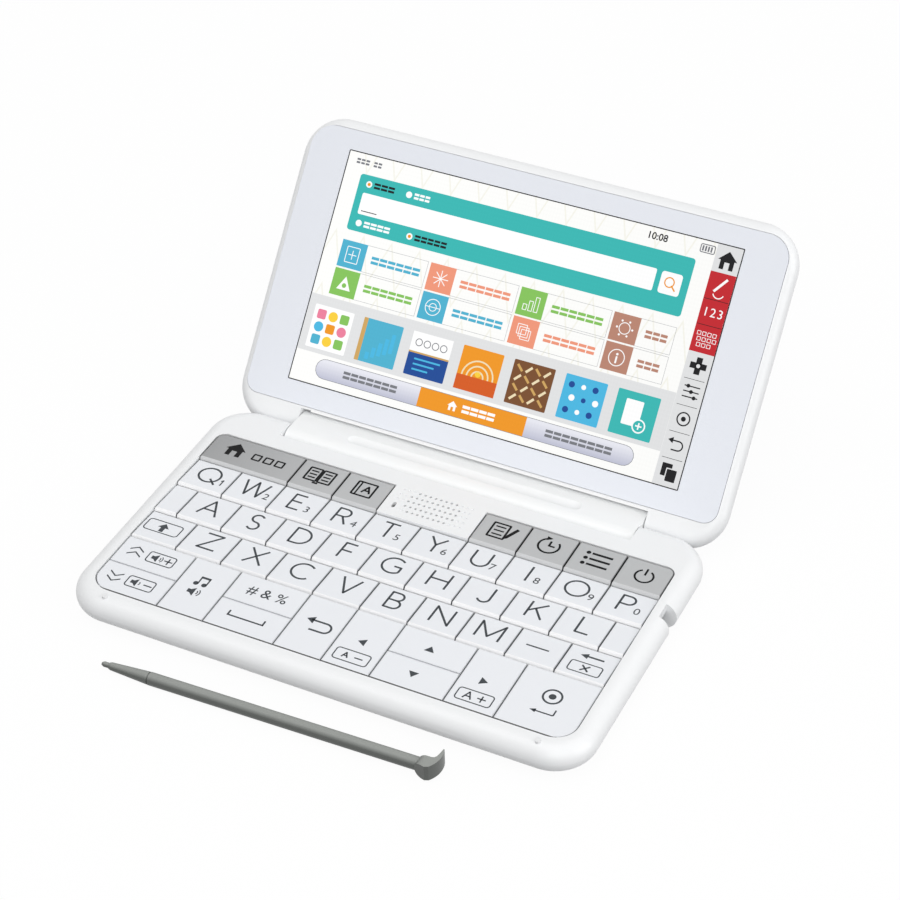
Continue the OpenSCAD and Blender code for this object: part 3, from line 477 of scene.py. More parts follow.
class Print:
    """Thin flat shapes drawn in one plane, made one mesh and laid in place."""

    def __init__(self, name):
        self.name = name
        self.inks = []
        self.bm = bmesh.new()

    def pen(self, ink, level):
        """Takes a material and a layer for what is drawn next."""
        if ink not in self.inks:
            self.inks.append(ink)
        self.ink, self.level = self.inks.index(ink), level
        return self

    def _add(self, part, u, v, turn=0.0):
        """Joins one shape, drawn round the origin, to the print."""
        place = (Matrix.Translation((u, v, self.level * THICK))
                 @ Matrix.Rotation(math.radians(turn), 4, "Z"))
        bmesh.ops.transform(part, matrix=place, verts=part.verts)
        bmesh.ops.recalc_face_normals(part, faces=part.faces)
        for face in part.faces:
            face.material_index = self.ink
        mesh = new_mesh("part", part)
        self.bm.from_mesh(mesh)
        bpy.data.meshes.remove(mesh)

    def _thicken(self, part):
        made = bmesh.ops.extrude_face_region(part, geom=part.faces[:])
        rising = [v for v in made["geom"] if isinstance(v, bmesh.types.BMVert)]
        bmesh.ops.translate(part, vec=(0, 0, THICK), verts=rising)

    def bar(self, u, v, width, height, turn=0.0):
        part = bmesh.new()
        bmesh.ops.create_cube(part, size=1,
                              matrix=LIFT @ Matrix.Diagonal((width, height, THICK, 1)))
        self._add(part, u, v, turn)

    def cross(self, u, v, width, height, turn=0.0):
        for way in (turn, turn + 90):
            self.bar(u, v, width, height, way)

    def disc(self, u, v, radius, segments=20):
        part = bmesh.new()
        bmesh.ops.create_cone(part, cap_ends=True, segments=segments, radius1=radius,
                              radius2=radius, depth=THICK, matrix=LIFT)
        self._add(part, u, v)

    def wedge(self, u, v, width, height, turn=0.0):
        """Triangle that points up before its turn."""
        low = -height / 2
        self.shape(u, v, [(-width / 2, low), (width / 2, low), (0, height / 2)], turn)

    def ring(self, u, v, radius, line, start=0.0, sweep=360.0, steps=0):
        part = bmesh.new()
        section = (LIFT @ Matrix.Translation((radius, 0, 0))
                   @ Matrix.Rotation(math.radians(90), 4, "X")
                   @ Matrix.Diagonal((line, THICK, 1, 1)))
        bmesh.ops.create_grid(part, x_segments=1, y_segments=1, size=0.5, matrix=section)
        whole = abs(sweep - 360.0) < 0.01
        if whole:
            bmesh.ops.delete(part, geom=part.faces[:], context="FACES_ONLY")
        bmesh.ops.spin(part, geom=part.verts[:] + part.edges[:] + part.faces[:], cent=(0, 0, 0),
                       axis=(0, 0, 1), angle=math.radians(sweep), use_merge=whole,
                       steps=steps or max(4, int(sweep / 12)))
        self._add(part, u, v, start)

    def _sheet(self, width, height, radius):
        part = bmesh.new()
        bmesh.ops.create_grid(part, x_segments=1, y_segments=1, size=0.5,
                              matrix=Matrix.Diagonal((width, height, 1, 1)))
        if radius > 0:
            bmesh.ops.bevel(part, geom=part.verts[:], offset=radius, segments=4, profile=0.5,
                            affect="VERTICES", material=-1)
        return part

    def plate(self, u, v, width, height, radius=0.0):
        part = self._sheet(width, height, radius)
        self._thicken(part)
        self._add(part, u, v)

    def outline(self, u, v, width, height, radius, line):
        part = self._sheet(width, height, radius)
        inner = part.faces[:]
        bmesh.ops.inset_region(part, faces=inner, thickness=line, use_even_offset=True,
                               use_boundary=True)
        bmesh.ops.delete(part, geom=inner, context="FACES_ONLY")
        self._thicken(part)
        self._add(part, u, v)

    def shape(self, u, v, points, turn=0.0):
        """Flat shape through a few corner points."""
        part = bmesh.new()
        part.faces.new([part.verts.new((x, y, 0)) for x, y in points])
        self._thicken(part)
        self._add(part, u, v, turn)

    def path(self, points, line):
        """Stroke of one width through a few points, with its corners filled."""
        for (x0, y0), (x1, y1) in zip(points, points[1:]):
            self.bar((x0 + x1) / 2, (y0 + y1) / 2, math.hypot(x1 - x0, y1 - y0), line,
                     math.degrees(math.atan2(y1 - y0, x1 - x0)))
        for x, y in points[1:-1]:
            self.disc(x, y, line / 2, 12)

    def letter(self, u, v, sign, height, line):
        """Capital letter drawn with one line width."""
        half = (height - line) / 2
        for stroke in LETTER_STROKES[sign]:
            if isinstance(stroke[0], tuple):
                self.path([(u + half * x, v + half * y) for x, y in stroke], line)
            else:
                x, y, radius, start, sweep = stroke
                self.ring(u + half * x, v + half * y, half * radius, line, start, sweep,
                          max(6, int(sweep / 9)))

    def text(self, u, v, letters, height, bold=0.0):
        """Letters centred on their own width, standing on v - height / 2."""
        curve = bpy.data.curves.new("letters", "FONT")
        curve.body = letters
        curve.size = height / CAPITAL
        curve.offset = bold
        curve.extrude = THICK / 2
        curve.resolution_u = 4
        holder = bpy.data.objects.new("letters", curve)
        mesh = bpy.data.meshes.new_from_object(holder)
        part = bmesh.new()
        part.from_mesh(mesh)
        bmesh.ops.remove_doubles(part, verts=part.verts, dist=0.0005)
        ends = [p.co.x for p in part.verts]
        middle = (min(ends) + max(ends)) / 2
        bmesh.ops.translate(part, vec=(-middle, -height / 2, THICK / 2), verts=part.verts)
        bpy.data.objects.remove(holder)
        bpy.data.curves.remove(curve)
        bpy.data.meshes.remove(mesh)
        self._add(part, u, v)

    def lay(self, place, body):
        """Places the print, makes its object and lets it ride on a body."""
        if not self.bm.faces:
            raise RuntimeError(f"nothing was drawn on {self.name}")
        bmesh.ops.transform(self.bm, matrix=place, verts=self.bm.verts)
        mesh = new_mesh(self.name, self.bm)
        for ink in self.inks:
            mesh.materials.append(ink)
        piece = new_object(self.name, mesh)
        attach(piece, body)


class Picture(Print):
    """Print on the display, measured across and down from the picture's upper left corner."""

    def __init__(self, name, look):
        super().__init__("picture_" + name)
        self.look = look

    def pen(self, ink, level):
        return super().pen(lit(ink, self.look), level)

    def _add(self, part, across, down, turn=0.0):
        super()._add(part, across - PICTURE_X, PICTURE_HIGH - down, turn)

    def box(self, left, top, width, height, radius=0.0):
        """Filled area from its upper left corner."""
        self.plate(left + width / 2, top + height / 2, width, height, radius)

    def frame(self, left, top, width, height, line=0.2, radius=0.3):
        self.outline(left + width / 2, top + height / 2, width, height, radius, line)

    def word(self, left, top, width, height):
        """Stand-in for a word: two thin lines, broken at each sign."""
        signs = max(1, round(width / (1.15 * height)))
        step = width / signs
        for k in range(signs):
            for down in (0.0, 0.62 * height):
                self.box(left + k * step, top + down, step - 0.3, 0.38 * height)


def key_top(name):
    """Matrix from millimetres round a key's middle to its top face."""
    low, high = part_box(name)
    middle = (low + high) / 2
    if name in FLAT_KEYS:
        return Matrix.Translation((middle.x, middle.y, high.z)) @ Matrix.Scale(MM, 4)
    foot = low.y + KEY_BAND * MM
    run = high.y - KEY_CHAMFER * MM - foot
    drop = (GREY_DROP if name in GREY_KEYS else KEY_DROP) * MM
    fall = high.z - drop * (middle.y - foot) / run
    turn = Matrix.Rotation(-math.atan2(drop, run), 4, "X")
    return Matrix.Translation((middle.x, middle.y, fall)) @ turn @ Matrix.Scale(MM, 4)


def lid_face():
    """Matrix from millimetres on the lid's face, measured from its hinge axis, to the frame."""
    return (Matrix.Scale(MM, 4) @ Matrix.Translation(LID_AXIS)
            @ Matrix.Rotation(math.radians(LID_LEAN), 4, "X")
            @ Matrix.Translation((0, 0, PICTURE_LEVEL)))


# ---------- operators ----------

class Step(Operator):
    """Base of the making steps."""
    bl_options = {"REGISTER", "UNDO"}

    def execute(self, context):
        self.make(context.scene)
        return {"FINISHED"}


class DICTIONARY_OT_finish_cases(Step):
    """Give the cases, the lid and the hinge their moulded finish"""
    bl_idname = "dictionary.finish_cases"
    bl_label = "Finish the cases"

    def deck(self, tint, keys, settings):
        """Shell plastic whose blank half keys look like the keys beside them, painted highlight and
        shade too.
        """
        deck = Surface("deck_plastic")
        calc, at = deck.math, deck.split(deck.where)
        inside = []
        for place, (low, high) in ((calc("ABSOLUTE", at["X"]), FILLER_X), (at["Y"], FILLER_Y)):
            inside.append(calc("MULTIPLY", calc("GREATER_THAN", place, low * MM),
                               calc("LESS_THAN", place, high * MM)))
        faces = deck.faces(keys.white, keys.band, keys.side)
        return deck.mould(deck.mix(calc("MULTIPLY", *inside), tint, faces), **settings)

    def make(self, scene):
        case = scene.dictionary_case
        settings = {"grain": case.grain, "tone": 0.02, "rough": 0.34, "bump": 0.05, "coat": 0.12}
        finish(moulded("shell_plastic", case.shell, **settings), "bottom_case", "lid_frame",
               "lid_back", "battery_cover")
        finish(self.deck(case.shell, scene.dictionary_keys, settings), "top_case")
        # Painted light: the hinge block is whiter than the shell to lift the shade that the lid
        # throws on it.
        finish(moulded("hinge_plastic", srgb(251, 252, 252), case.grain, rough=0.3, bump=0.04,
                       coat=0.15), "hinge_block")
        glass = Surface("glass_border")
        skin = glass.skin(case.glass, 900.0, tone=0.02, rough=0.1, spread=0.02)
        finish(glass.wear({"Base Color": skin["Colour"], "Roughness": glass.marks(0.06, 0.16),
                           "Specular IOR Level": 0.35}), "display_glass")


class DICTIONARY_OT_finish_keys(Step):
    """Give the keys their tops, front bands with painted highlight and sides with painted shade"""
    bl_idname = "dictionary.finish_keys"
    bl_label = "Finish the keys"

    def plastic(self, name, top, band, side, rough, fade=False, flat=False):
        """Key plastic: top, front band as painted highlight, sides as painted shade, function key
        fade.
        """
        surface = Surface(name)
        edge = min(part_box(key)[0].y for key in FLAT_KEYS) + SHADED_RIM_WIDTH * MM if flat else -1.0
        if fade:
            across = surface.split(surface.where)["X"]
            reach = surface.between(across, FADE_X[0] * MM, FADE_X[1] * MM)
            top = surface.mix(reach, [FADE * c for c in top], top)
        faces = surface.faces(top, band, side, edge, float(flat))
        rounded = surface.add("Bevel", {"Radius": 0.5 * MM}, samples=4)
        return surface.mould(faces, 3200.0, tone=0.02, rough=rough, bump=0.05, coat=0.1,
                             specular=0.35, spread=0.06, deep=0.03, coat_rough=0.2,
                             Normal=rounded.outputs["Normal"])

    def make(self, scene):
        keys = scene.dictionary_keys
        white, grey = keys.white, keys.grey
        # Side colours are painted shade in the gaps and band colours a painted highlight; flat keys
        # get painted shade on their fronts instead of a band.
        finish(self.plastic("letter_key_plastic", white, keys.band, keys.side, 0.36), *RIDGED_KEYS)
        finish(self.plastic("grey_key_plastic", grey, keys.grey_band, srgb(26, 26, 27), 0.32,
                            fade=True), *GREY_KEYS)
        finish(self.plastic("flat_key_plastic", white, white, srgb(196, 198, 200), 0.36,
                            flat=True), *FLAT_KEYS)


class DICTIONARY_OT_print_letters(Step):
    """Print the capital letters and the small digits on the letter keys"""
    bl_idname = "dictionary.print_letters"
    bl_label = "Print the letters"

    def make(self, scene):
        keys = scene.dictionary_keys
        half = keys.digit_height / 2
        base = 1.25 - keys.letter_height / 2 + half
        for letter, shift, *digit in LETTER_ROWS:
            sheet = Print("letter_" + letter.lower())
            sheet.pen(legend_ink("legend_ink", keys.ink, 0.12), 0)
            sheet.letter(shift, 0.85, letter, keys.letter_height, keys.letter_line)
            if "1" in digit:
                x = digit[1]
                sheet.path([(x - 0.55, base + 0.5 * half), (x, base + half), (x, base - half)], 0.4)
            elif digit:
                sheet.text(digit[1], base, digit[0], keys.digit_height)
            name = "key_" + letter.lower()
            sheet.lay(key_top(name), name)


def speaker(sign, u, v, size, waves, line):
    """Loudspeaker with sound waves."""
    corners = ((-0.5, -0.16), (-0.28, -0.16), (0, -0.4), (0, 0.4), (-0.28, 0.16), (-0.5, 0.16))
    sign.shape(u, v, [(x * size, y * size) for x, y in corners])
    for wave in range(waves):
        sign.ring(u + 0.02 * size, v, (0.2 + 0.17 * wave) * size, line, -48, 96)


def chevrons(sign, u, v, width, line, way):
    """Two open arrow heads, one over the other."""
    side, top = width / 2, way * 0.17 * width
    for shift in (0.0, side):
        sign.shape(u, v + way * (shift - 0.25 * width), [
            (-side, -top), (0, top), (side, -top), (side, way * line - top),
            (0, top + way * line), (-side, way * line - top)])


def house(sign, u, v, size):
    """Small house with a door."""
    corners = ((-0.5, 0.02), (0, 0.48), (0.5, 0.02), (0.36, 0.02), (0.36, -0.44), (0.13, -0.44),
               (0.13, -0.08), (-0.13, -0.08), (-0.13, -0.44), (-0.36, -0.44), (-0.36, 0.02))
    sign.shape(u, v, [(x * size, y * size) for x, y in corners])


class DICTIONARY_OT_print_signs(Step):
    """Print plain signs on the function keys and the front keys"""
    bl_idname = "dictionary.print_signs"
    bl_label = "Print the signs"

    def home(self, sign):
        house(sign, -6.2, 0.9, 6.3)
        for k in range(3):
            sign.outline(1.0 + 3.7 * k, 0.4, 2.9, 2.9, 0.4, 0.55)

    def book_a(self, sign):
        for side in (-2.15, 2.15):
            sign.outline(side, 0.8, 4.3, 6.0, 0.5, 0.6)
            for k in range(3):
                sign.bar(side, 2.2 - 1.4 * k, 2.3, 0.55)
        sign.bar(0, -2.6, 1.7, 0.7)

    def book_b(self, sign):
        sign.outline(-0.1, 0.8, 6.4, 6.4, 0.5, 0.6)
        sign.bar(-1.9, 0.8, 0.5, 6.0)
        sign.letter(0.7, 0.8, "A", 3.4, 0.6)

    def notes(self, sign):
        sign.outline(-0.9, 0.7, 5.4, 6.6, 0.4, 0.6)
        for k in range(3):
            sign.bar(-0.9, 0.7 + 6.6 * (0.25 - 0.25 * k), 3.024, 0.54)
        sign.bar(3.0, 1.0, 1.0, 4.8, -24)
        sign.wedge(1.85, -1.6, 1.0, 1.0, 156)

    def history(self, sign):
        sign.ring(0, 0.7, 3.0, 0.62, 100, 300)
        sign.wedge(-0.85, 3.7, 1.7, 1.7, -80)
        sign.bar(0, 1.6, 0.6, 2.2)
        sign.bar(0.75, 0.7, 1.9, 0.6)

    def contents(self, sign):
        for k in range(3):
            sign.disc(-3.2, 2.9 - 2.3 * k, 0.65)
            sign.bar(0.9, 2.9 - 2.3 * k, 6.0, 0.8)

    def power(self, sign):
        sign.ring(0, 0.1, 2.55, 0.58, 120, 300)
        sign.bar(0, 1.9, 0.58, 2.8)

    def shift(self, sign):
        sign.outline(-0.5, 0.5, 10.9, 5.2, 1.1, 0.34)
        sign.wedge(-0.5, 1.35, 3.4, 1.9)
        sign.bar(-0.5, -0.5, 1.3, 1.9)

    def dash(self, sign):
        sign.bar(-0.3, 0.3, 6.5, 0.5)

    def delete(self, sign):
        sign.wedge(-2.25, 3.0, 2.1, 2.1, 90)
        sign.bar(1.05, 3.0, 4.5, 0.6)
        sign.outline(-0.1, -1.8, 9.2, 4.4, 0.9, 0.34)
        for turn in (45, -45):
            sign.bar(-0.1, -1.8, 3.1, 0.5, turn)

    def page_rocker(self, sign):
        for way, v, waves in ((1, 5.75, 2), (-1, -5.1, 1)):
            chevrons(sign, -5.5, v, 4.2, 0.5, way)
            sign.outline(2.45, v, 8.5, 4.4, 0.9, 0.34)
            speaker(sign, 1.4, v, 3.8, waves, 0.28)
            sign.bar(4.7, v, 2.5, 0.42)
            if way > 0:
                sign.bar(4.7, v, 0.42, 2.5)

    def sound(self, sign):
        for x in (-1.9, 0.6):
            sign.disc(x, 1.6, 0.75)
            sign.bar(x + 0.56, 3.0, 0.42, 2.9)
        sign.bar(-0.1, 4.3, 2.95, 0.75)
        speaker(sign, -0.5, -1.7, 4.2, 2, 0.32)

    def space_rocker(self, sign):
        sign.text(0.2, 5.6, "# & %", 3.3, bold=0.02)
        sign.bar(-0.4, -5.6, 11.0, 0.5)
        for side in (-5.65, 4.85):
            sign.bar(side, -4.8, 0.5, 2.0)

    def back(self, sign):
        sign.bar(0.3, 2.1, 4.6, 0.6)
        sign.ring(2.6, 0.3, 1.8, 0.6, -90, 180)
        sign.bar(0.7, -1.5, 3.9, 0.6)
        sign.wedge(-2.4, 2.1, 2.7, 2.2, 90)

    def sideways(self, sign, turn, height):
        sign.wedge(-0.3, 0.0, 2.7, 2.2, turn)
        sign.outline(-0.1, -6.2, 10.2, 4.6, 1.0, 0.34)
        sign.letter(-1.9, -6.2, "A", height, 0.42)
        sign.bar(1.9, -6.2, 2.4, 0.42)

    def left(self, sign):
        self.sideways(sign, 90, 2.3)

    def right(self, sign):
        self.sideways(sign, -90, 3.0)
        sign.bar(1.9, -6.2, 0.42, 2.4)

    def updown_rocker(self, sign):
        sign.wedge(-0.5, 5.1, 2.9, 2.1)
        sign.wedge(-0.5, -5.4, 2.9, 2.1, 180)

    def enter(self, sign):
        sign.ring(0.2, 2.4, 2.5, 0.55)
        sign.disc(0.2, 2.4, 1.0)
        sign.bar(0.3, -3.9, 5.2, 0.42)
        sign.bar(3.1, -2.7, 0.42, 1.9)
        sign.ring(2.7, -3.49, 0.41, 0.42, 270, 90)
        sign.wedge(-2.6, -3.9, 1.4, 1.7, 90)

    def make(self, scene):
        keys = scene.dictionary_keys
        ink = legend_ink("legend_ink", keys.ink, 0.12)
        dark = legend_ink("legend_ink_dark", keys.ink_dark, 0.1)
        for name in GREY_KEYS + FLAT_KEYS + ("key_shift", "key_dash", "key_delete"):
            short = name.removeprefix("key_")
            sign = Print("sign_" + short)
            getattr(self, short)(sign.pen(dark if name in GREY_KEYS else ink, 0))
            sign.lay(key_top(name), name)


def page(look):
    """Page with its faint zigzag pattern and the black line round it."""
    paper = Surface("lit_page_pattern")
    calc = paper.math
    flat = paper.add("Mapping", {
        "Vector": paper.where, "Rotation": (-math.radians(LID_LEAN), 0, 0)},
        vector_type="TEXTURE")
    at = paper.split(flat.outputs[0])
    wave = calc("PINGPONG", at["X"], ZIGZAG["run"] * MM)
    rows = []
    for shift in ZIGZAG["shifts"]:
        rise = calc("MULTIPLY_ADD", wave, ZIGZAG["slope"], shift * MM)
        near = calc("PINGPONG", calc("ADD", at["Y"], rise), ZIGZAG["row"] * MM)
        rows.append(calc("LESS_THAN", near, ZIGZAG["line"] * MM))
    tint = paper.mix(calc("MAXIMUM", *rows), look.page, look.trace)
    sheet = Print("picture_page")
    middle, high = (PICTURE_LOW + PICTURE_HIGH) / 2, PICTURE_HIGH - PICTURE_LOW
    sheet.pen(paper.glow(tint, 0.02, 0.12), 0).plate(0, middle, 2 * PICTURE_X, high)
    sheet.pen(lit("black", look), 1)
    sheet.outline(0, middle, 2 * PICTURE_X + 0.3, high + 0.3, 0.3, 0.3)
    sheet.lay(lid_face(), "lid")


def status(pen):
    pen("black", 1).text(97.0, 2.4, "10:08", 1.9, bold=0.05)
    grey = pen("text_grey", 1)
    grey.word(2.9, 1.7, 4.4, 1.5)
    grey.word(8.4, 1.7, 2.8, 1.5)
    grey.frame(109.4, 1.1, 4.4, 2.5, 0.28, 0.5)
    for k in range(4):
        grey.box(110.0 + 0.82 * k, 1.6, 0.5, 1.5)


def search(pen):
    pen("panel", 1).box(5.3, 5.8, 103.9, 16.6, 0.9)
    pen("white", 2).box(7.4, 11.05, 91.8, 6.25, 0.5)
    pen("black", 3).box(8.3, 16.15, 5.0, 0.25)
    pen("white", 2).box(100.8, 11.1, 6.2, 6.2, 0.8)
    pen("marked", 3).ring(103.6, 13.9, 1.35, 0.35)
    pen("marked", 3).bar(105.0, 15.35, 1.9, 0.42, -45)
    for across, down, chosen, width in ((8.6, 8.4, True, 6.8), (21.5, 8.4, False, 5.2),
                                        (8.6, 19.9, False, 8.6), (25.0, 19.9, True, 10.4)):
        pen("white", 2).disc(across, down, 0.95)
        if chosen:
            pen("marked", 3).disc(across, down, 0.5)
        ink = "black" if chosen else "white"
        pen(ink, 2).word(across + 1.7, down - 0.85, width, 1.7)


def tiles(pen):
    sides = ((5.3, 32.9), (33.7, 61.4), (62.2, 89.9), (90.6, 109.2))
    inks = ("blue", "coral", "green", "brown", "green", "blue", "coral", "brown")
    for k, ink in enumerate(inks):
        left, right = sides[k % 4]
        top = 25.4 + 8.4 * (k // 4)
        pen("line_grey", 1).frame(left, top, right - left, 7.9, 0.12, 0.05)
        pen(ink, 2).box(left, top, 8.1, 7.9)
        icon(pen, k, left + 4.05, top + 3.95)
        start = left + 10.2
        pen(ink, 2).word(start, top + 2.8, right - start - 1.6, 2.2)


def icon(pen, kind, across, down):
    """White line drawing on a tile."""
    white = pen("white", 3)
    if kind == 0:
        white.frame(across - 2.1, down - 2.4, 4.2, 4.8, 0.22)
        white.cross(across, down, 2.6, 0.22)
    elif kind == 1:
        for turn in range(0, 180, 45):
            white.bar(across, down, 4.8, 0.24, turn)
    elif kind == 2:
        for k, high in enumerate((1.8, 3.0, 4.4)):
            white.frame(across - 2.4 + 1.7 * k, down + 2.3 - high, 1.3, high, 0.2, 0.1)
    elif kind == 3:
        white.ring(across, down, 1.6, 0.24)
        for turn in range(0, 360, 60):
            rad = math.radians(turn)
            white.disc(across + 2.3 * math.cos(rad), down + 2.3 * math.sin(rad), 0.3)
    elif kind == 4:
        white.wedge(across, down, 4.4, 4.0)
        pen("green", 4).disc(across, down + 0.7, 0.7)
    elif kind == 5:
        white.ring(across, down, 2.3, 0.22)
        white.bar(across, down, 4.4, 0.2)
        white.ring(across, down, 1.1, 0.2)
    elif kind == 6:
        for k in range(3):
            white.frame(across - 2.2 + 0.7 * k, down - 2.2 + 0.7 * k, 3.0, 3.0, 0.2, 0.2)
    else:
        white.ring(across, down, 2.3, 0.26)
        white.disc(across, down - 1.0, 0.35)
        white.bar(across, down + 0.6, 2.0, 0.5, 90)


def covers(pen):
    pen("page_grey", 1).box(0.15, 42.7, 113.9, 16.7)
    top, side = 45.5, 12.6
    lefts = [2.4 + 15.9 * k for k in range(7)]
    inks = ("white", "blue", "navy", "orange", "umber", "sky", "panel")
    for left, ink in zip(lefts, inks):
        pen(ink, 2).box(left, top, side, side, 0.3)
    patches, stairs, halves, sun, weave, dots, sheet = lefts
    # patchwork of squares and discs
    inks = ("pink", "yellow", "green", "sky", "orange", "pink", "blue", "yellow", "green")
    for k, ink in enumerate(inks):
        x, y = patches + 2.6 + 3.7 * (k % 3), top + 2.6 + 3.7 * (k // 3)
        if k % 2:
            pen(ink, 3).disc(x, y, 1.5)
        else:
            pen(ink, 3).box(x - 1.4, y - 1.4, 2.8, 2.8, 0.5)
    # rising steps beside an ochre edge
    pen("ochre", 3).box(stairs, top, 1.3, side)
    for k in range(5):
        pen("sky", 3).box(stairs + 3.0 + 1.7 * k, top + 9.6 - 1.7 * k, 1.2, 2.0 + 0.9 * k)
    # white upper half with rings, lines below an ochre edge
    pen("white", 3).box(halves, top, side, 5.6)
    pen("ochre", 3).box(halves, top + 5.6, side, 0.5)
    for k in range(4):
        pen("text_grey", 4).ring(halves + 2.4 + 2.6 * k, top + 2.9, 1.0, 0.25)
    for k in range(3):
        pen("sky", 3).box(halves + 2.2, top + 7.4 + 1.5 * k, 8.2 - 1.6 * k, 0.5)
    # low sun with arcs round it
    pen("deep_orange", 3).box(sun, top + 8.3, side, 4.3)
    for k in range(3):
        pen("cream", 4).ring(sun + 6.3, top + 8.3, 1.8 + 1.5 * k, 0.45, 0, 180)
    pen("yellow", 4).disc(sun + 6.3, top + 7.2, 0.9)
    # woven bands
    for k in range(4):
        for j in range(4):
            ink, turn = ("cream", 45) if (k + j) % 2 else ("ochre", -45)
            pen(ink, 3).bar(weave + 2.1 + 2.8 * k, top + 2.1 + 2.8 * j, 2.4, 0.7, turn)
    # staggered dots
    for k in range(3):
        for j in range(3):
            pen("white" if (k + j) % 2 else "navy", 3).disc(
                dots + 2.7 + 3.6 * k + 0.9 * (j % 2) - 0.4, top + 2.7 + 3.6 * j,
                0.9 - 0.2 * (k % 2))
    # sheet with a plus
    pen("white", 3).box(sheet + 3.0, top + 2.2, 5.2, 7.2, 0.3)
    pen("white", 4).disc(sheet + 8.3, top + 9.0, 2.0)
    pen("panel", 5).disc(sheet + 8.3, top + 9.0, 1.6)
    pen("white", 6).cross(sheet + 8.3, top + 9.0, 1.9, 0.4)


def tabs(pen):
    pen("lavender", 1).box(7.5, 60.35, 99.7, 5.85, 2.9)
    pen("marked", 2).box(40.8, 60.35, 33.3, 5.85)
    grey = pen("text_grey", 3)
    grey.frame(7.5, 60.35, 99.7, 5.85, 0.14, 2.9)
    grey.word(16.5, 62.25, 17.5, 2.1)
    grey.word(80.4, 62.25, 20.5, 2.1)
    house(pen("white", 3), 51.5, 63.3, 3.0)
    pen("white", 3).word(54.6, 62.2, 10.4, 2.2)


def sidebar(pen):
    middle = 117.95
    pen("page_grey", 1).box(114.1, 0.15, 7.5, 68.15)
    house(pen("black", 2), middle, 4.3, 5.6)
    pen("alarm", 2).box(114.1, 7.8, 7.5, 22.6)
    for down in (15.4, 22.6):
        pen("black", 3).box(114.3, down, 7.1, 0.16)
    white = pen("white", 3)
    white.bar(middle, 11.2, 5.0, 0.7, 52)
    white.ring(middle, 13.3, 1.6, 0.3, 200, 140)
    for k, digit in enumerate("123"):
        white.text(middle - 2.1 + 2.1 * k, 19.0, digit, 2.4)
    for row, count in enumerate((4, 4, 3)):
        for k in range(count):
            white.frame(middle - 2.9 + 1.5 * k + 0.3 * row, 24.5 + 1.6 * row, 1.15, 1.15,
                        0.16, 0.1)
    pen("black", 2).cross(middle, 34.1, 4.8, 1.7)
    pen("page_grey", 3).disc(middle, 34.1, 0.55)
    for down in (37.9, 45.4, 53.0, 60.5):
        pen("black", 2).box(114.9, down, 6.0, 0.14)
    for k in range(3):
        pen("black", 2).box(middle - 2.3, 39.8 + 1.5 * k, 4.6, 0.34)
        pen("black", 3).disc(middle - 1.2 + 1.2 * k, 39.97 + 1.5 * k, 0.55)
    black = pen("black", 2)
    black.ring(middle, 49.2, 1.8, 0.4)
    black.disc(middle, 49.2, 0.7)
    black.ring(middle + 0.6, 56.8, 1.3, 0.4, -90, 180)
    black.wedge(middle - 1.9, 55.5, 1.8, 1.5, 90)
    black.box(middle - 1.4, 55.3, 2.1, 0.4)
    black.box(middle - 1.2, 57.9, 1.9, 0.4)
    black.box(middle - 2.3, 62.0, 3.0, 3.6, 0.2)
    pen("page_grey", 3).box(middle - 0.9, 63.2, 3.2, 3.7, 0.2)
    pen("black", 4).box(middle - 0.6, 63.5, 2.9, 3.4, 0.2)


class DICTIONARY_OT_light_picture(Step):
    """Build the display picture out of thin lit areas"""
    bl_idname = "dictionary.light_picture"
    bl_label = "Light the picture"

    def make(self, scene):
        look = scene.dictionary_picture
        page(look)
        for draw in (status, search, tiles, covers, tabs, sidebar):
            sheet = Picture(draw.__name__, look)
            draw(sheet.pen)
            sheet.lay(lid_face(), "lid")


class DICTIONARY_OT_finish_stylus(Step):
    """Give the stylus its grey plastic, with painted shade on its underside"""
    bl_idname = "dictionary.finish_stylus"
    bl_label = "Finish the stylus"

    def make(self, scene):
        # Painted shade: the stylus' downward faces take the darker grey.
        finish(moulded("stylus_plastic", srgb(150, 153, 149), 2400.0, srgb(88, 91, 88), tone=0.08,
                       rough=0.4, coat=0.1), "stylus")


class DICTIONARY_OT_finish_inside(Step):
    """Give the inner parts, the feet and the screws their materials"""
    bl_idname = "dictionary.finish_inside"
    bl_label = "Finish the inside"

    def metal(self, name, tint, rough, scale):
        """Turned metal with fine lines round it."""
        metal = Surface(name)
        stretched = metal.add("Mapping", {
            "Vector": metal.where, "Scale": (scale, 220.0, 220.0)})
        lines = metal.noise(stretched.outputs[0], 1.0, Detail=4.0)
        tone = metal.math("MULTIPLY_ADD", lines, 0.2, 0.9)
        return metal.wear({
            "Base Color": metal.shade(tint, tone), "Metallic": 1.0,
            "Roughness": metal.math("MULTIPLY_ADD", lines, 0.18, rough - 0.09)})

    def make(self, scene):
        finish(self.metal("turned_steel", srgb(186, 188, 190), 0.3, 3000.0), "hinge_pins",
               "case_screws")
        finish(moulded("foot_rubber", scene.dictionary_case.rubber, 1800.0, tone=0.08, rough=0.75,
                       bump=0.2), "rubber_pads")
        for node, name, tint, grain, tone, rough, coat in (
                ("stylus_silo", "tube_plastic", (112, 114, 106), 2000.0, 0.05, 0.5, 0.0),
                ("battery", "battery_wrap", (62, 66, 74), 900.0, 0.1, 0.35, 0.3),
                ("circuit_board", "board_lacquer", (28, 92, 58), 700.0, 0.2, 0.4, 0.4),
                ("key_sheet", "sheet_rubber", (206, 208, 212), 1600.0, 0.1, 0.8, 0.0)):
            finish(moulded(name, srgb(*tint), grain, tone=tone, rough=rough, coat=coat), node)
        finish(self.metal("speaker_frame", srgb(120, 122, 126), 0.4, 900.0), "speaker")


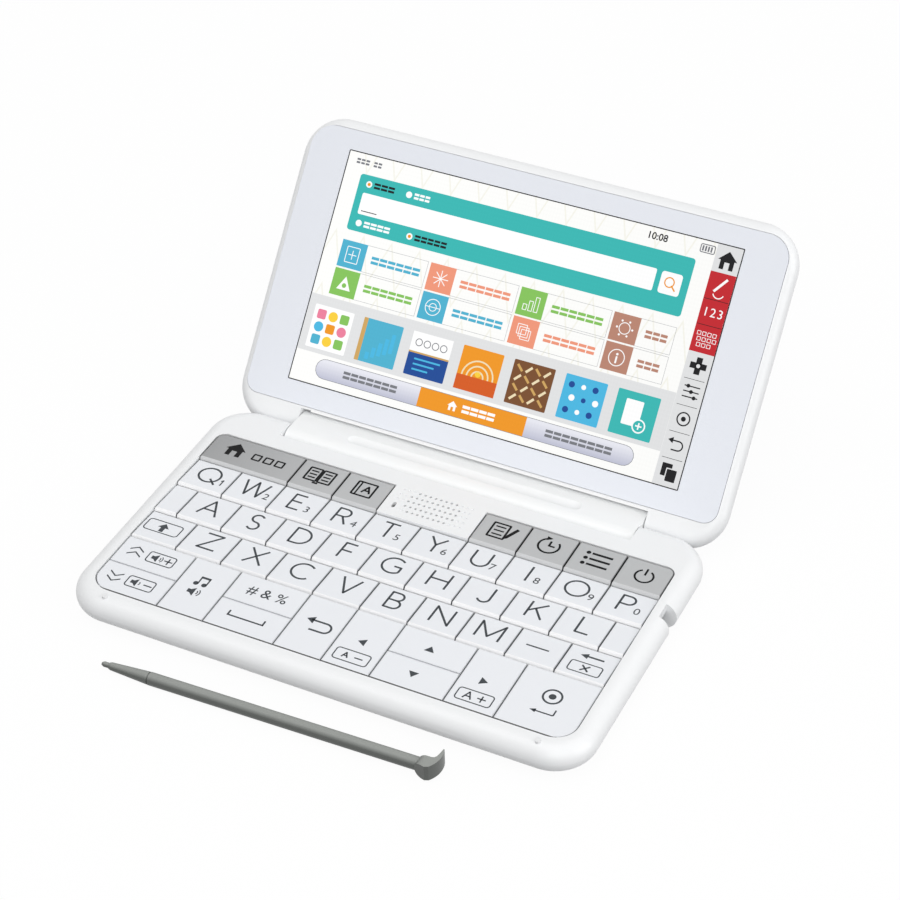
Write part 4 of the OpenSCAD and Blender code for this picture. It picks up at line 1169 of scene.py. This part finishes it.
class DICTIONARY_OT_set_stage(Step):
    """Set the table, the lamps and the camera"""
    bl_idname = "dictionary.set_stage"
    bl_label = "Set the stage"

    def table(self, floor):
        """Table that keeps the shadow, is white to the camera and clear from below."""
        top = Surface("table_top")
        camera, seen = top.rays()
        level = top.math("MULTIPLY_ADD", top.noise(top.where, 60.0, Detail=2.0), 0.01, 0.995)
        tint = top.mix(camera, floor, (1.0, 1.0, 1.0))
        top.wear({"Base Color": top.shade(tint, level), "Roughness": 0.9,
                  "Specular IOR Level": 0.0})
        glow = top.add("Emission", {"Color": (1.0, 1.0, 1.0), "Strength": 1.0})
        white = top.add("MixShader", {
            0: top.math("MULTIPLY", seen, 0.95), 1: top.shader.outputs[0], 2: glow.outputs[0]})
        under = top.add("MixShader", {
            0: top.add("NewGeometry").outputs["Backfacing"], 1: white.outputs[0],
            2: top.add("BsdfTransparent").outputs[0]})
        top.put(top.tree.nodes["Material Output"].inputs["Surface"], under.outputs[0])
        bm = bmesh.new()
        bmesh.ops.create_grid(bm, x_segments=1, y_segments=1, size=TABLE_SIZE,
                              matrix=Matrix.Translation((0, 0, TABLE_LEVEL * MM)))
        mesh = new_mesh("table", bm)
        mesh.materials.append(top.material)
        floor = new_object("table", mesh)

    def sky(self, strength):
        """Even light, white where the camera or a mirror sees it."""
        world = bpy.data.worlds.new("studio")
        bpy.context.scene.world = world
        world.use_nodes = True
        wiring = Wiring(world.node_tree)
        seen = wiring.rays()[1]
        inputs = world.node_tree.nodes["Background"].inputs
        wiring.put(inputs["Color"], (1.0, 1.0, 1.0))
        wiring.put(inputs["Strength"],
                   wiring.math("MULTIPLY_ADD", seen, 1.0 - strength, strength))

    def lamp(self, name, place, size, share):
        """Square lamp that gives a white sheet this share of its full brightness, in metres."""
        light = bpy.data.lights.new(name, "AREA")
        light.size = size
        away = Vector(place)
        light.energy = share * math.pi ** 2 * away.length_squared
        holder = new_object(name, light)
        holder.location = away
        holder.rotation_euler = away.to_track_quat("Z", "Y").to_euler()

    def camera(self):
        data = bpy.data.cameras.new("photo_view")
        data.sensor_width = SENSOR
        data.lens = LENS
        data.clip_start = 0.01
        camera = new_object("photo_view", data)
        turn = Matrix(CAMERA_AXES).transposed().to_4x4()
        camera.matrix_world = Matrix.Translation(CAMERA_PLACE) @ turn
        bpy.context.scene.camera = camera

    def make(self, scene):
        stage = scene.dictionary_stage
        self.table(stage.floor)
        self.sky(stage.sky)
        self.lamp("upper_lamp", (-0.25, -0.5, 1.85), 1.3, stage.upper)
        self.lamp("front_lamp", (0.75, -1.35, 1.1), 1.4, stage.front)
        self.lamp("side_lamp", (1.8, 0.15, 0.6), 1.4, stage.side)
        self.camera()
        scene.view_settings.view_transform = "Standard"


STEPS = (DICTIONARY_OT_finish_cases, DICTIONARY_OT_finish_keys, DICTIONARY_OT_print_letters,
         DICTIONARY_OT_print_signs, DICTIONARY_OT_light_picture, DICTIONARY_OT_finish_stylus,
         DICTIONARY_OT_finish_inside, DICTIONARY_OT_set_stage)


class DICTIONARY_PT_tools(Panel):
    """Steps that dress the dictionary, in order"""
    bl_label = "Pocket dictionary"
    bl_idname = "DICTIONARY_PT_tools"
    bl_space_type = "VIEW_3D"
    bl_region_type = "UI"
    bl_category = "Dictionary"

    def draw(self, context):
        for step in STEPS:
            self.layout.operator(step.bl_idname)


LOOKS = (("dictionary_case", CaseLook), ("dictionary_keys", KeyLook),
         ("dictionary_picture", PictureLook), ("dictionary_stage", StageLook))


def register():
    for name, look in LOOKS:
        bpy.utils.register_class(look)
        setattr(bpy.types.Scene, name, PointerProperty(type=look))
    for step in STEPS + (DICTIONARY_PT_tools,):
        bpy.utils.register_class(step)


def unregister():
    for step in reversed(STEPS + (DICTIONARY_PT_tools,)):
        bpy.utils.unregister_class(step)
    for name, look in reversed(LOOKS):
        delattr(bpy.types.Scene, name)
        bpy.utils.unregister_class(look)


def main():
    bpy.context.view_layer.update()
    register()
    for step in STEPS:
        getattr(bpy.ops.dictionary, step.bl_idname.split(".")[1])()


if __name__ == "__main__":
    main()
